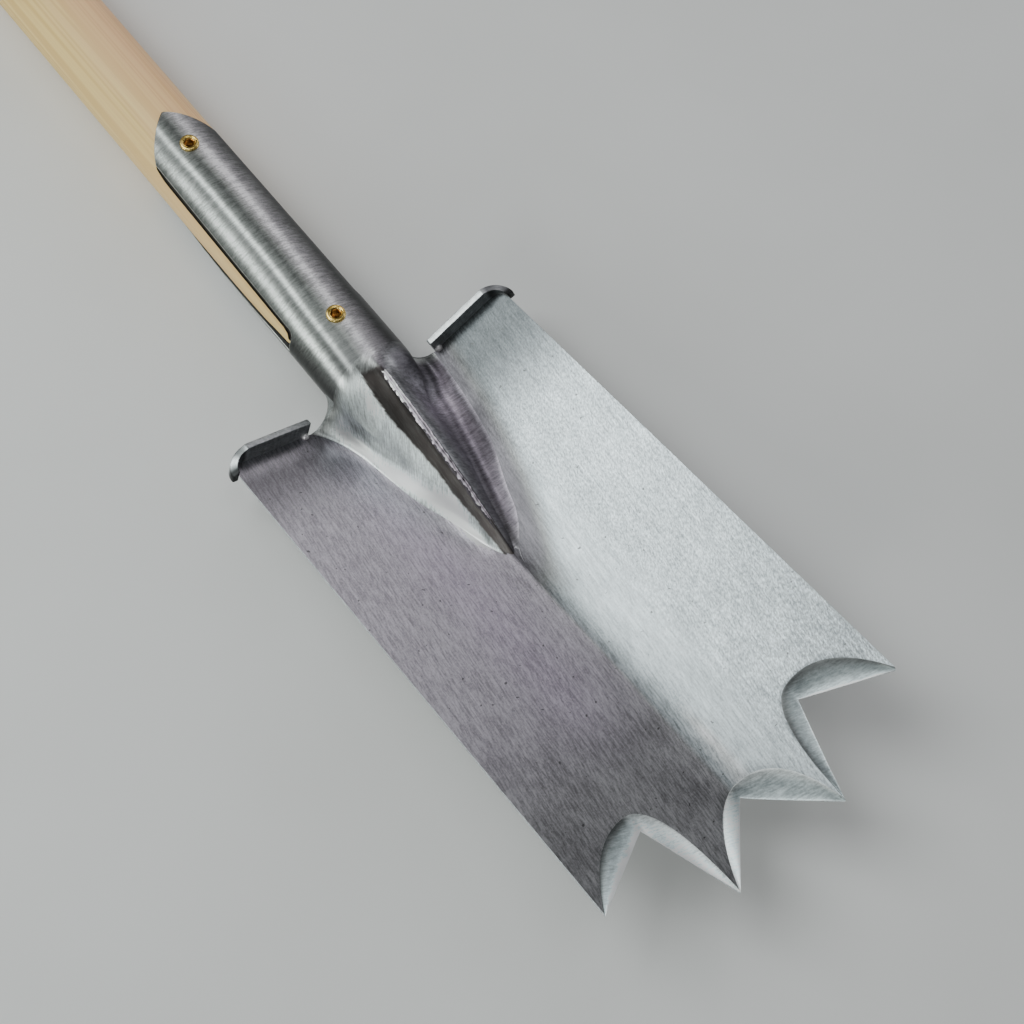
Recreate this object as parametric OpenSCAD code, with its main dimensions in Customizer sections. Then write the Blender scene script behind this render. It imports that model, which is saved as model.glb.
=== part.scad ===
// Detecting shovel: a V-dished steel blade with four teeth, two welded foot treads, a split
// socket with a seam-welded keel, and a riveted ash shaft that ends in a T-grip.
//
// Every sub-part is drawn in the blade's own frame: X across, Y from the outer teeth towards
// the grip, Z out of the dished face, with the long edges at Z = 0. The module lying() then
// lays the whole shovel on its back, so that the heel and the T-grip touch Z = 0.

/* [Blade] */
// Distance from the outer teeth to the top edge
blade_len = 241; // [200:1:280]
// Half of the blade's width at the outer teeth
tip_half_w = 76; // [68:1:90]
// Half of the blade's width at the top edge
top_half_w = 73; // [66:1:80]
// Depth of the crease below the long edges at the teeth
tip_dish = 23; // [15:0.5:26]
// Depth of the crease below the long edges at the top edge
top_dish = 27; // [22:0.5:29]
// Half width over which the crease is rounded
crease_soft = 6; // [3:0.5:9]
// Thickness of the blade sheet
sheet = 2.5; // [2:0.1:3.5]

/* [Teeth] */
// Distance of the inner teeth from the middle
inner_tip_x = 28; // [24:0.5:32]
// How far the inner teeth reach past the outer ones
inner_tip_drop = 23.5; // [10:0.5:30]
// Distance of the side notches from the middle
side_notch_x = 42; // [38:0.5:48]
// Height of the side notches above the outer teeth
side_notch_rise = 17.5; // [8:0.5:24]
// Height of the centre notch above the outer teeth
centre_notch_rise = 4.5; // [0:0.5:12]
// Width of the ground bevel at the notches
bevel_w = 9; // [4:0.5:12]
// Thickness left at the ground cutting edge
cutting_edge = 0.5; // [0.3:0.1:1]

/* [Treads] */
// Distance of a tread's inner end from the middle
tread_start = 35; // [33:0.5:40]
// Height of a tread above the blade's face
tread_proud = 8; // [6:0.5:14]
// Thickness of the tread strip
tread_t = 3; // [2:0.1:4]
// Inner radius of the bend round the blade's corner
tread_bend = 5.5; // [4:0.5:7]
// Straight length past the bend
tread_leg = 0.5; // [0.5:0.5:6]
// Distance before the corner where a tread's upper edge starts to fall
tread_fall = 7.5; // [6:0.5:12]

/* [Socket] */
// Outer diameter of the socket
socket_d = 40.4; // [40:0.2:42]
// Thickness of the socket's sheet
socket_t = 2; // [1.5:0.1:2]
// Height of the socket's axis above the long edges at the top edge
axis_z = -2.3; // [-5:0.1:0]
// Angle between the blade and the shaft, in degrees
lift = 7.5; // [5:0.5:10]
// Distance along the axis from the blade's top edge to the point of the straps
strap_top = 154; // [150:1:180]
// Distance along the axis from the blade's top edge to the foot of the side slots
slot_foot = 32.5; // [32:0.5:45]

/* [Keel] */
// Where the seam on the keel starts
keel_top = 233; // [225:1:236]
// Where the keel runs out into the crease
keel_foot = 143; // [120:1:165]
// How far the keel's ridge bulges above a straight line
keel_arch = 2; // [0:0.5:3]
// Width of the seam weld
seam_w = 3; // [2:0.2:4]
// Height of the seam weld above the ridge
seam_h = 0.8; // [0.4:0.1:1.5]
// Width of the weld fillet on each side of the keel at the blade's top edge
foot_weld_w = 12; // [8:0.5:12.5]

/* [Rivets] */
// Diameter of the rivet shank
rivet_d = 6; // [5:0.5:7]
// Diameter of the rivet head
rivet_head_d = 8.6; // [8:0.2:11]
// Height of the rivet head above the strap
rivet_head_h = 1.1; // [0.6:0.1:1.5]
// Distance of the upper rivet from the blade's top edge, along the axis
rivet_upper_s = 133; // [120:1:138]
// Distance of the lower rivet from the blade's top edge, along the axis
rivet_lower_s = 25; // [20:0.5:27]

/* [Shaft] */
// Diameter of the ash shaft
shaft_d = 38; // [37.4:0.2:39]
// Distance along the axis from the blade's top edge to the middle of the T-grip
shaft_len = 770; // [600:10:1100]

/* [Grip] */
// Length of the T-grip
grip_len = 132; // [110:2:150]
// Diameter of the T-grip in the middle
grip_d = 38; // [38:1:42]
// Diameter of the tenon through the T-grip
tenon_d = 22; // [20:1:24]
// Thickness of the wedge at its thick end
wedge_t = 2.6; // [2:0.2:4]
// Diameter of the cross pin
pin_d = 5; // [4:0.5:6]

/* [Hidden] */
$fn = 64;

steel = [0.66, 0.67, 0.68];
weld_steel = [0.78, 0.78, 0.79];
brass = [0.80, 0.61, 0.26];
ash = [0.87, 0.76, 0.58];
wedge_wood = [0.50, 0.33, 0.20];

// Room that a cut runs past the surfaces it cuts through
past = 1;
socket_r = socket_d / 2;
bore_r = socket_r - socket_t;
shaft_r = shaft_d / 2;
grip_r = grip_d / 2;

// ---------- The V-dished blade ----------

// Half width, crease depth and front face of the blade
function half_w(y) = tip_half_w + (top_half_w - tip_half_w) * max(0, y) / blade_len;
function dish(y) = tip_dish + (top_dish - tip_dish) * y / blade_len;
function face_z(x, y) = dish(y) * (sqrt(x * x + crease_soft * crease_soft) / half_w(y) - 1);
flank_tilt = atan(top_dish / top_half_w);

// Height of the toothed edge at a distance x from the middle
function edge_y(x) =
    x < inner_tip_x
    ? centre_notch_rise - (centre_notch_rise + inner_tip_drop) * x / inner_tip_x
    : x < side_notch_x
    ? (side_notch_rise + inner_tip_drop) * (x - inner_tip_x) / (side_notch_x - inner_tip_x)
      - inner_tip_drop
    : side_notch_rise * (tip_half_w - x) / (tip_half_w - side_notch_x);

// Width of the ground bevel along Y: almost nothing at the teeth, full at the notches
bevel_min = 0.8;
function near(x, notch, reach) = max(0, 1 - abs(x - notch) / reach);
function side_reach(x) = (x < side_notch_x ? inner_tip_x : tip_half_w) - side_notch_x;
function bevel(x) = bevel_min
    + bevel_w * sqrt(max(near(x, 0, inner_tip_x), near(x, side_notch_x, abs(side_reach(x)))));

// The top edge, rounded at its outer corners where the treads wrap round it
function top_y(x) =
    let (into = (x - top_half_w) / cos(flank_tilt) + tread_bend)
    blade_len - (into <= 0 ? 0 : tread_bend - sqrt(max(0, tread_bend ^ 2 - into ^ 2)));

// Stations along the blade: above the notches, then up to and along the keel
lower_rows = 3;
plain_rows = 3;
keel_rows = 12;
blade_start = side_notch_rise + 2 * bevel_w;
keel_ys = [for (i = [0 : keel_rows]) keel_foot + (blade_len - keel_foot) * i / keel_rows];
plain_ys = [for (i = [0 : plain_rows - 1]) blade_start + (keel_foot - blade_start) * i / plain_rows];
blade_ys = concat(plain_ys, keel_ys);
blade_rows = lower_rows + 1 + len(blade_ys);

// Columns across one half of the blade at the teeth, from the middle outwards
corner_cols = [for (a = [60, 30, 0]) tip_half_w - tread_bend * (1 - cos(a))];
half_cols = concat([0, 3, 6, 10, 15, 21, inner_tip_x, tread_start, side_notch_x, 50, 60],
                   [tip_half_w - tread_bend], corner_cols);
cols = concat([for (i = [len(half_cols) - 1 : -1 : 1]) -half_cols[i]], half_cols);

function row_y(row, c) =
    let (rise = edge_y(c) + bevel(c), last = blade_rows - 1)
    row == 0 ? edge_y(c)
    : row <= lower_rows ? rise + (blade_start - rise) * (row - 1) / lower_rows
    : row == last ? top_y(c * half_w(blade_len) / tip_half_w)
    : blade_ys[row - lower_rows - 1];
function blade_point(row, c, behind) =
    let (y = row_y(row, abs(c)), x = c * half_w(y) / tip_half_w)
    [x, y, face_z(x, y) - (row == 0 ? max(behind, sheet - cutting_edge) : behind)];

// Two triangles for each cell of a grid of points, and for each step along a closed rim
function cell(a, b, c, d) = [[a, b, c], [a, c, d]];
function flat(lists) = [for (list = lists) each list];
function grid_faces(rows, n, at, turned) = flat([for (i = [0 : rows - 2], j = [0 : n - 2])
    let (a = at + i * n + j, b = a + n, c = b + 1, d = a + 1)
    turned ? [[a, c, b], [a, d, c]] : cell(a, b, c, d)]);
function rim(rows, n) = concat(
    [for (j = [0 : n - 1]) j],
    [for (i = [1 : rows - 1]) i * n + n - 1],
    [for (j = [n - 2 : -1 : 0]) (rows - 1) * n + j],
    [for (i = [rows - 2 : -1 : 1]) i * n]);
function rim_faces(loop, deep) = flat([for (k = [0 : len(loop) - 1])
    let (a = loop[k], b = loop[(k + 1) % len(loop)])
    cell(a, b, b + deep, a + deep)]);

module blade() {
    n = len(cols);
    points = [for (behind = [0, sheet], row = [0 : blade_rows - 1], c = cols)
        blade_point(row, c, behind)];
    deep = blade_rows * n;
    faces = concat(grid_faces(blade_rows, n, 0, false), grid_faces(blade_rows, n, deep, true),
                   rim_faces(rim(blade_rows, n), deep));
    color(steel) lying() polyhedron(points, faces);
}

// ---------- The keel: the folded lower end of the socket, closed by a seam weld ----------

// A ring is the same number of points at each station; the rings join into one closed solid
function ring_faces(rings, n) = concat(
    flat([for (i = [0 : rings - 2], j = [0 : n - 1])
        cell(i * n + j, i * n + (j + 1) % n, (i + 1) * n + (j + 1) % n, (i + 1) * n + j)]),
    [[for (j = [n - 1 : -1 : 0]) j]],
    [[for (j = [0 : n - 1]) (rings - 1) * n + j]]);
module loft(rings) {
    polyhedron(flat(rings), ring_faces(len(rings), len(rings[0])));
}

// The keel is a step smaller than the socket, which it meets end to end
joint_step = 0.1;
keel_r = socket_r - joint_step;

// Height of the ridge: along the socket first, then down an arch into the crease
rise_over = tan(lift);
socket_top_z = axis_z + keel_r / cos(lift);
ridge_start_z = socket_top_z - (blade_len - keel_top) * rise_over;
keel_end_h = 0.6;
ridge_end_z = face_z(0, keel_foot) + keel_end_h;
function ridge_z(y) =
    let (t = (keel_top - y) / (keel_top - keel_foot))
    t < 0 ? socket_top_z - (blade_len - y) * rise_over
    : ridge_start_z + (ridge_end_z - ridge_start_z) * t + 4 * keel_arch * t * (1 - t);

// How far down the keel a station is, and how far the round socket has become a roof there
roof_run = 30;
// How much narrower the keel is at its foot, and how late down its length it narrows
keel_taper = 0.8;
keel_taper_power = 2.2;
function down(y) = (blade_len - y) / (blade_len - keel_foot);
function roof(y) =
    let (t = min(1, (blade_len - y) / roof_run))
    t * t * (3 - 2 * t);
function keel_w(y) = keel_r * (1 - keel_taper * down(y) ^ keel_taper_power);

// Side of the keel: from the seam's edge out to the foot weld, then down to the blade
side_steps = 6;
ridge_soft = 0.22;
seam_half = seam_w / 2;
function soft(u) = (sqrt(u * u + ridge_soft * ridge_soft) - ridge_soft)
    / (sqrt(1 + ridge_soft * ridge_soft) - ridge_soft);
foot_in = 0.25;
function foot_u(y) = 1 - foot_in * roof(y);
function keel_z(u, y) =
    let (w = keel_w(y), top = ridge_z(y), tall = w / cos(lift),
         round_z = top - tall * (1 - sqrt(1 - u * u)),
         base = face_z(w * u, y), roof_z = base + (top - face_z(0, y)) * (1 - soft(u)))
    round_z + (roof_z - round_z) * roof(y);
function side_point(k, y) =
    let (w = keel_w(y), u = max(seam_half / w, foot_u(y) * sin(90 * k / side_steps)))
    k == 0 ? [seam_half, y, ridge_z(y)] : [w * u, y, keel_z(u, y)];
function base_point(y) = [keel_w(y), y, face_z(keel_w(y), y)];
function mirrored(p) = [-p[0], p[1], p[2]];
function keel_ring(y) =
    let (side = [for (k = [0 : side_steps]) side_point(k, y)])
    concat([base_point(y)], [for (k = [side_steps : -1 : 0]) side[k]],
           [for (p = side) mirrored(p)], [mirrored(base_point(y))]);

// Hollow inside the keel, one sheet inside its slanting sides and open towards the blade
hollow_start = 0.3;
hollow_foot = keel_foot + hollow_start * (blade_len - keel_foot);
hollow_top = blade_len - 3 * socket_t;
hollow_rows = 6;
inset_x = 1.25 * socket_t;
inset_z = 1.6 * socket_t;
function inside(p) = [p[0] * (1 - inset_x / keel_w(p[1])), p[1], p[2] - inset_z];
function hollow_ring(y) =
    let (side = [for (k = [0 : side_steps]) inside(side_point(k, y))],
         low = [side[side_steps][0], y, face_z(0, y)])
    concat([low], [for (k = [side_steps : -1 : 0]) side[k]],
           [for (p = side) mirrored(p)], [mirrored(low)]);
module keel() {
    difference() {
        loft([for (y = keel_ys) keel_ring(y)]);
        loft([for (i = [0 : hollow_rows]) hollow_ring(hollow_foot
            + (hollow_top - hollow_foot) * i / hollow_rows)]);
    }
}

// Weld bead along the ridge, and the fillet on one side of the keel (side = 1 or -1)
seam_ys = [for (y = keel_ys) if (y < keel_top) y];
module keel_seam_weld() {
    color(weld_steel) lying() loft([for (y = seam_ys) let (z = ridge_z(y))
        [for (p = [[-1, 0], [1, 0], [0.6, 0.7], [0, 1], [-0.6, 0.7]])
            [p[0] * seam_half, y, z + p[1] * seam_h]]]);
}
foot_weld_end = 0.12;
foot_weld_pull = 0.35;
function foot_weld_ring(y) =
    let (k = side_point(side_steps, y), v = base_point(y),
         x = v[0] + foot_weld_w * (foot_weld_end + (1 - foot_weld_end) * (1 - down(y))),
         f = [x, y, face_z(x, y)], pull = v + foot_weld_pull * ((k + f) / 2 - v))
    [k, v, f, each [for (t = [0.75, 0.5, 0.25])
        (1 - t) ^ 2 * k + 2 * t * (1 - t) * pull + t * t * f]];
module foot_weld(side) {
    color(weld_steel) lying() mirror([side > 0 ? 0 : 1, 0, 0])
        loft([for (y = keel_ys) foot_weld_ring(y)]);
}

// V-shaped weld under the keel's end, closing the gap between the socket and the blade
module heel_weld() {
    last = len(keel_ys) - 1;
    groove = [for (c = cols) if (abs(c) < bore_r - past) c];
    color(weld_steel) lying() loft([for (y = [keel_ys[last - 1], keel_ys[last]])
        [mirrored(base_point(y)), each [for (c = groove) blade_point_at(y, c)], base_point(y)]]);
}
function blade_point_at(y, c) =
    let (x = c * half_w(y) / tip_half_w)
    [x, y, face_z(x, y)];

// ---------- The split socket ----------

// Frame of the shaft: X across, Z along the axis from the blade's top edge, Y out of the back
module on_axis() {
    translate([0, blade_len, axis_z]) rotate([lift - 90, 0, 0]) children();
}
far = 3 * socket_r;

// Outline of a strap's pointed end: how far along the axis it is at an arc a from the middle
strap_half = 18.5;
strap_steps = 6;
strap_slope = 0.62;
strap_round = 0.014;
function strap_s(a) = strap_top - strap_slope * a - strap_round * a * a;
function strap_point(k) =
    let (a = strap_half * k / strap_steps)
    [socket_r * sin(a / socket_r * 180 / PI), strap_s(abs(a))];
module beyond_point(gap) {
    edge = [for (k = [strap_steps : -1 : -strap_steps]) strap_point(k) + [0, gap]];
    corner_s = edge[0][1];
    polygon([[far, corner_s], each edge, [-far, corner_s], [-far, strap_top + far],
             [far, strap_top + far]]);
}

// Slot between the straps, seen from the side: [towards the back, along the axis]
slot_front_top = -12;
slot_front_foot = -10;
slot_back_top = 11.3;
slot_back_foot = 1.4;
slot_corner = 3;
slot_flare_s = [45, 115];
slot_top_s = strap_top - strap_half;
module slot(gap) {
    foot = slot_foot + gap;
    front = slot_front_foot + gap;
    front_top = [slot_front_top + gap, slot_top_s];
    back = slot_back_top - gap;
    back_foot = slot_back_foot - 2 * gap;
    bend = [for (a = [180 : 22.5 : 270]) [front, foot] + slot_corner * [1 + cos(a), 1 + sin(a)]];
    polygon([each bend, [back_foot, foot], [back_foot, slot_flare_s[0]], [back, slot_flare_s[1]],
             [back, strap_top + far], [front_top[0], strap_top + far], front_top]);
}

// Everything round the axis that the straps leave bare, drawn in by a gap
module bare(gap) {
    rotate([90, 0, 0]) linear_extrude(far) beyond_point(gap);
    mirror([0, 1, 0]) rotate([90, 0, 0]) linear_extrude(far) beyond_point(gap);
    rotate([90, 0, 90]) translate([0, 0, -far]) linear_extrude(2 * far) slot(gap);
}
module across(s, d) {
    translate([0, 0, s]) rotate([90, 0, 0]) cylinder(h = 2 * far, d = d, center = true);
}
module rivet_holes() {
    across(rivet_upper_s, rivet_d);
    across(rivet_lower_s, rivet_d);
}
module split_tube() {
    difference() {
        on_axis() difference() {
            translate([0, 0, -socket_r]) cylinder(h = strap_top + far, r = socket_r);
            translate([0, 0, -socket_r - past]) cylinder(h = strap_top + 2 * far, r = bore_r);
            bare(0);
            rivet_holes();
        }
        translate([-far, blade_len - 2 * far, -far]) cube(2 * far);
    }
}
module socket() {
    color(steel) lying() {
        keel();
        split_tube();
    }
}

// ---------- Treads ----------

// Frame of one flank at the outer top corner: X outwards, Y along the blade, Z off the face
tread_gap = 0.1;
module on_flank(side) {
    mirror([side > 0 ? 0 : 1, 0, 0]) translate([top_half_w + tread_gap, blade_len, 0])
        rotate([0, -flank_tilt, 0]) children();
}
tread_len = (top_half_w - tread_start) / cos(flank_tilt);
module quarter(r) {
    intersection() {
        circle(r);
        square(2 * r);
    }
}
module tread_outline() {
    translate([-tread_len, 0]) square([tread_len - tread_bend, tread_t]);
    translate([-tread_bend, -tread_bend]) difference() {
        quarter(tread_bend + tread_t);
        circle(tread_bend);
    }
    translate([0, -tread_bend - tread_leg]) square([tread_t, tread_leg]);
}
// The upper edge falls to this height at the outside of the bend
tread_low = 1;
fall_angle = atan((tread_proud - tread_low) / (tread_fall + tread_t));
module tread_fall_cut() {
    past = 2 * (tread_fall + tread_proud);
    translate([-tread_fall, -past, tread_proud]) rotate([0, fall_angle, 0]) cube([past, 2 * past, past]);
}
module tread(side) {
    color(steel) lying() on_flank(side) difference() {
        translate([0, 0, -sheet]) linear_extrude(sheet + tread_proud) tread_outline();
        tread_fall_cut();
    }
}

// Bead at the inner end of a tread, on the blade's face
bead_r = 2;
bead_lift = 0.2;
module tread_weld(side) {
    color(weld_steel) lying() on_flank(side) translate([bead_r - tread_len, 0, bead_lift])
        intersection() {
            sphere(bead_r);
            translate([-bead_r, -2 * bead_r, 0]) cube(2 * bead_r);
        }
}

// ---------- Rivets ----------

// Frame of a rivet: Z out of the front of the socket, Y along the axis
head_bite = 1.5;
bowl_d = 0.6 * rivet_head_d;
bowl_lift = bowl_d / 4;
rim_r = 0.7;
module head_profile() {
    r = rivet_head_d / 2;
    tall = head_bite + rivet_head_h;
    polygon([[0, 0], [r, 0], each [for (a = [0 : 15 : 90])
        [r - rim_r * (1 - cos(a)), tall - rim_r * (1 - sin(a))]], [0, tall]]);
}
module rivet_heads() {
    difference() {
        for (turn = [0, 180]) {
            rotate([0, turn, 0]) translate([0, 0, socket_r - head_bite])
                rotate_extrude() head_profile();
        }
        rotate([90, 0, 0]) cylinder(h = far, r = socket_r, center = true);
    }
}
module rivet(s) {
    color(brass) lying() on_axis() translate([0, 0, s]) rotate([90, 0, 0]) difference() {
        union() {
            rivet_heads();
            cylinder(h = 2 * (socket_r + rivet_head_h / 2), d = rivet_d, center = true);
        }
        translate([0, 0, socket_r + rivet_head_h + bowl_lift]) sphere(d = bowl_d);
    }
}

// ---------- The ash shaft and its T-grip ----------

shaft_foot_s = 3;
wood_gap = 0.8;
neck_in = 3;
neck_r = shaft_r - neck_in;
neck_len = 90;
tenon_s = shaft_len - grip_r - past;
saddle_s = shaft_len - sqrt(grip_r * grip_r - neck_r * neck_r);
wedge_depth = 12;
wedge_tip_t = 0.6;

// Solid of the T-grip's bar, at the top of the shaft
grip_round = 6;
module grip_bar() {
    half = grip_len / 2;
    flat_end = half - grip_round;
    end = [for (a = [0 : 15 : 90])
        [grip_r - grip_round * (1 - cos(a)), flat_end + grip_round * sin(a)]];
    translate([0, 0, shaft_len]) rotate([0, 90, 0]) rotate_extrude()
        polygon([each end, [0, half], [0, -half],
                 each [for (k = [len(end) - 1 : -1 : 0]) [end[k][0], -end[k][1]]]]);
}
module grip_core(r) {
    translate([0, 0, shaft_len]) rotate([0, 90, 0]) cylinder(h = 2 * shaft_d, r = r, center = true);
}
// The wedge stands across the bar, so that it spreads the tenon along the bar's grain
module wedge_solid() {
    top_s = shaft_len + grip_r;
    intersection() {
        translate([0, tenon_d / 2, 0]) rotate([90, 0, 0]) linear_extrude(tenon_d)
            polygon([[-wedge_tip_t / 2, top_s - wedge_depth], [wedge_tip_t / 2, top_s - wedge_depth],
                     [wedge_t / 2, top_s], [-wedge_t / 2, top_s]]);
        cylinder(h = top_s + past, d = tenon_d);
        grip_core(grip_r);
    }
}
module shaft_blank() {
    translate([0, 0, shaft_foot_s]) cylinder(h = shaft_len - neck_len - shaft_foot_s, r = shaft_r);
    difference() {
        translate([0, 0, shaft_len - neck_len])
            cylinder(h = neck_len - (shaft_len - saddle_s), r1 = shaft_r, r2 = neck_r);
        grip_core(grip_r);
    }
    intersection() {
        translate([0, 0, tenon_s - past]) cylinder(h = 2 * (grip_r + past), d = tenon_d);
        grip_core(grip_r);
    }
}
module rebate() {
    difference() {
        translate([0, 0, shaft_foot_s - past]) difference() {
            cylinder(h = strap_top + wood_gap, r = shaft_r + past);
            translate([0, 0, -past]) cylinder(h = strap_top + far, r = bore_r);
        }
        bare(wood_gap);
    }
}
module shaft() {
    color(ash) lying() on_axis() difference() {
        shaft_blank();
        rebate();
        rivet_holes();
        wedge_solid();
        across(shaft_len, pin_d);
    }
}
module t_grip() {
    color(ash) lying() on_axis() difference() {
        grip_bar();
        translate([0, 0, tenon_s - past]) cylinder(h = 2 * (grip_r + 2 * past), d = tenon_d);
        across(shaft_len, pin_d);
    }
}
module grip_wedge() {
    color(wedge_wood) lying() on_axis() wedge_solid();
}
module grip_pin() {
    color(brass) lying() on_axis() intersection() {
        across(shaft_len, pin_d);
        grip_core(grip_r);
    }
}

// ---------- The whole shovel on its back ----------

// The floor touches the heel of the blade and the underside of the T-grip
heel = [blade_len, face_z(0, blade_len) - sheet];
grip_mid = [blade_len + shaft_len * cos(lift), axis_z + shaft_len * sin(lift)];
reach = grip_mid - heel;
lie = atan2(reach[1], reach[0]) - asin(grip_r / norm(reach));
function laid(p) = [p[0] * cos(lie) + p[1] * sin(lie), p[1] * cos(lie) - p[0] * sin(lie)];
tooth = laid([-inner_tip_drop, face_z(inner_tip_x, -inner_tip_drop) - sheet]);
mid_y = (tooth[0] + laid(grip_mid)[0] + grip_r) / 2;
module lying() {
    translate([0, -mid_y, -laid(heel)[1]]) rotate([-lie, 0, 0]) children();
}

blade();
tread(-1);  // tread_left
tread(1);  // tread_right
tread_weld(-1);  // tread_weld_left
tread_weld(1);  // tread_weld_right
socket();
keel_seam_weld();
foot_weld(-1);  // foot_weld_left
foot_weld(1);  // foot_weld_right
heel_weld();
rivet(rivet_upper_s);  // rivet_upper
rivet(rivet_lower_s);  // rivet_lower
shaft();
t_grip();
grip_wedge();
grip_pin();
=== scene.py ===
"""Looks of the detecting shovel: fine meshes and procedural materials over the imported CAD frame.

The pieces are drawn in the blade's own frame, in millimetres: X across, Y from the outer teeth
towards the grip, Z out of the dished face, with the long edges at Z = 0. lay() turns that frame
into the row frame, in which the shovel lies on its back.
"""

from itertools import accumulate
from math import (acos, asin, atan, atan2, copysign, cos, dist, exp, hypot, pi, radians, sin, sqrt,
                  tan)

import bmesh
import bpy
from mathutils import Matrix, Vector, noise


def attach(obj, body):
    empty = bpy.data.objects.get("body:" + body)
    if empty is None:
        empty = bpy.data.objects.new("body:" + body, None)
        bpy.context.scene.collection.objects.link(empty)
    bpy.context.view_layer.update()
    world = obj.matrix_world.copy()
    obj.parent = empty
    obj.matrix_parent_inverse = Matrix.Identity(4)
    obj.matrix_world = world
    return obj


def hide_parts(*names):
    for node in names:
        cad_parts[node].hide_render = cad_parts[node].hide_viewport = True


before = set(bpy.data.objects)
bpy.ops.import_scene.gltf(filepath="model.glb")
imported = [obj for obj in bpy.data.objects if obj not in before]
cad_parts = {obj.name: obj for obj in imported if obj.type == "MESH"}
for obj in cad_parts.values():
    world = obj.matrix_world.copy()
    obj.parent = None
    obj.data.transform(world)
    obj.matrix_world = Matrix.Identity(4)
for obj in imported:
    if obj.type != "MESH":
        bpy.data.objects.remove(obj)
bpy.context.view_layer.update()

MM = 0.001

# ---------- Dimensions, the same as the CAD part's ----------

BLADE_LEN = 241.0
TIP_HALF_W, TOP_HALF_W = 76.0, 73.0
TIP_DISH, TOP_DISH = 23.0, 27.0
CREASE_SOFT = 6.0
SHEET = 2.5
CUTTING_EDGE = 0.5
INNER_TIP = (28.0, -23.5)
SIDE_NOTCH = (42.0, 17.5)
CENTRE_NOTCH = (0.0, 4.5)
OUTER_TIP = (TIP_HALF_W, 0.0)

TREAD_START, TREAD_PROUD, TREAD_T, TREAD_BEND, TREAD_LEG = 35.0, 8.0, 3.0, 5.5, 0.5
TREAD_FALL, TREAD_LOW = 7.5, 1.0
TREAD_GAP = 0.1

SOCKET_R, SOCKET_T = 20.2, 2.0
BORE_R = SOCKET_R - SOCKET_T
AXIS_Z = -2.3
LIFT = radians(7.5)
STRAP_TOP, STRAP_HALF = 154.0, 18.5
STRAP_SLOPE, STRAP_ROUND = 0.62, 0.014
SLOT_FOOT = 32.5
SLOT_FRONT = (10.0, 12.0)
SLOT_BACK = (1.4, 11.3)
SLOT_CORNER = 3.0
SLOT_TOP = STRAP_TOP - STRAP_HALF
SLOT_FLARE = (45.0, 115.0)

KEEL_TOP, KEEL_FOOT, KEEL_ARCH, KEEL_END_H = 233.0, 143.0, 2.0, 0.6
ROOF_RUN = 30.0
KEEL_TAPER, KEEL_TAPER_POWER = 0.8, 2.2
RIDGE_SOFT = 0.22
SEAM_W, SEAM_H = 3.0, 0.8

RIVET_S = {"rivet_upper": 133.0, "rivet_lower": 25.0}
RIVET_HEAD_R, RIVET_HEAD_H = 4.3, 1.1
SHAFT_R, SHAFT_LEN = 19.0, 770.0
WOOD_GAP = 0.8
NECK_R, NECK_LEN = 16.0, 90.0
GRIP_LEN, GRIP_R, GRIP_ROUND = 132.0, 19.0, 6.0
TENON_R, PIN_R, WEDGE_T = 11.0, 2.5, 2.6


# ---------- Shape of the shovel, in the blade's frame ----------

def half_w(y):
    return TIP_HALF_W + (TOP_HALF_W - TIP_HALF_W) * max(0.0, y) / BLADE_LEN


def dish(y):
    return TIP_DISH + (TOP_DISH - TIP_DISH) * y / BLADE_LEN


def face_z(x, y):
    return dish(y) * (hypot(x, CREASE_SOFT) / half_w(y) - 1)


FLANK_TILT = atan(TOP_DISH / TOP_HALF_W)


def top_y(x):
    """The blade's top edge, rounded at the corners where the treads wrap round it."""
    into = (x - TOP_HALF_W) / cos(FLANK_TILT) + TREAD_BEND
    if into <= 0:
        return BLADE_LEN
    return BLADE_LEN - TREAD_BEND + sqrt(max(0.0, TREAD_BEND ** 2 - into ** 2))


def smooth(t):
    t = min(1.0, max(0.0, t))
    return t * t * (3 - 2 * t)


def rise(v, start, width):
    """From 0 at start to 1 a width above it."""
    return smooth((v - start) / width)


def fall(v, start, width):
    """From 0 at start to 1 a width below it."""
    return smooth((start - v) / width)


def peak(d, width):
    """1 at d = 0, fading away over about a width on both sides."""
    return exp(-(d / width) ** 2)


def down(y):
    return (BLADE_LEN - y) / (BLADE_LEN - KEEL_FOOT)


def roof(y):
    return fall(y, BLADE_LEN, ROOF_RUN)


def keel_w(y):
    return SOCKET_R * (1 - KEEL_TAPER * max(0.0, down(y)) ** KEEL_TAPER_POWER)


SOCKET_TOP_Z = AXIS_Z + SOCKET_R / cos(LIFT)
RIDGE_BLEND = 9.0


def ridge_straight(y):
    return SOCKET_TOP_Z - (BLADE_LEN - y) * tan(LIFT)


def ridge_arch(y):
    t = (KEEL_TOP - y) / (KEEL_TOP - KEEL_FOOT)
    start, end = ridge_straight(KEEL_TOP), face_z(0, KEEL_FOOT) + KEEL_END_H
    return start + (end - start) * t + 4 * KEEL_ARCH * t * (1 - t)


def ridge_z(y):
    """Along the socket first, then down an arch into the crease, with a soft turn between them."""
    t = fall(y, KEEL_TOP + RIDGE_BLEND, 2 * RIDGE_BLEND)
    return min(ridge_straight(y), ridge_straight(y) * (1 - t) + ridge_arch(y) * t)


def soft(u):
    flat = hypot(1, RIDGE_SOFT) - RIDGE_SOFT
    return (hypot(u, RIDGE_SOFT) - RIDGE_SOFT) / flat


def on_axis(a, s, r):
    """Point on the shaft's axis frame: arc a (mm at the socket's radius) from the front, s along it."""
    turn = a / SOCKET_R
    out, side = r * cos(turn), r * sin(turn)
    return Vector((side, BLADE_LEN + s * cos(LIFT) - out * sin(LIFT),
                   AXIS_Z + s * sin(LIFT) + out * cos(LIFT)))


def axis_point(x, back, s):
    return Vector((x, BLADE_LEN + s * cos(LIFT) + back * sin(LIFT),
                   AXIS_Z + s * sin(LIFT) - back * cos(LIFT)))


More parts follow.
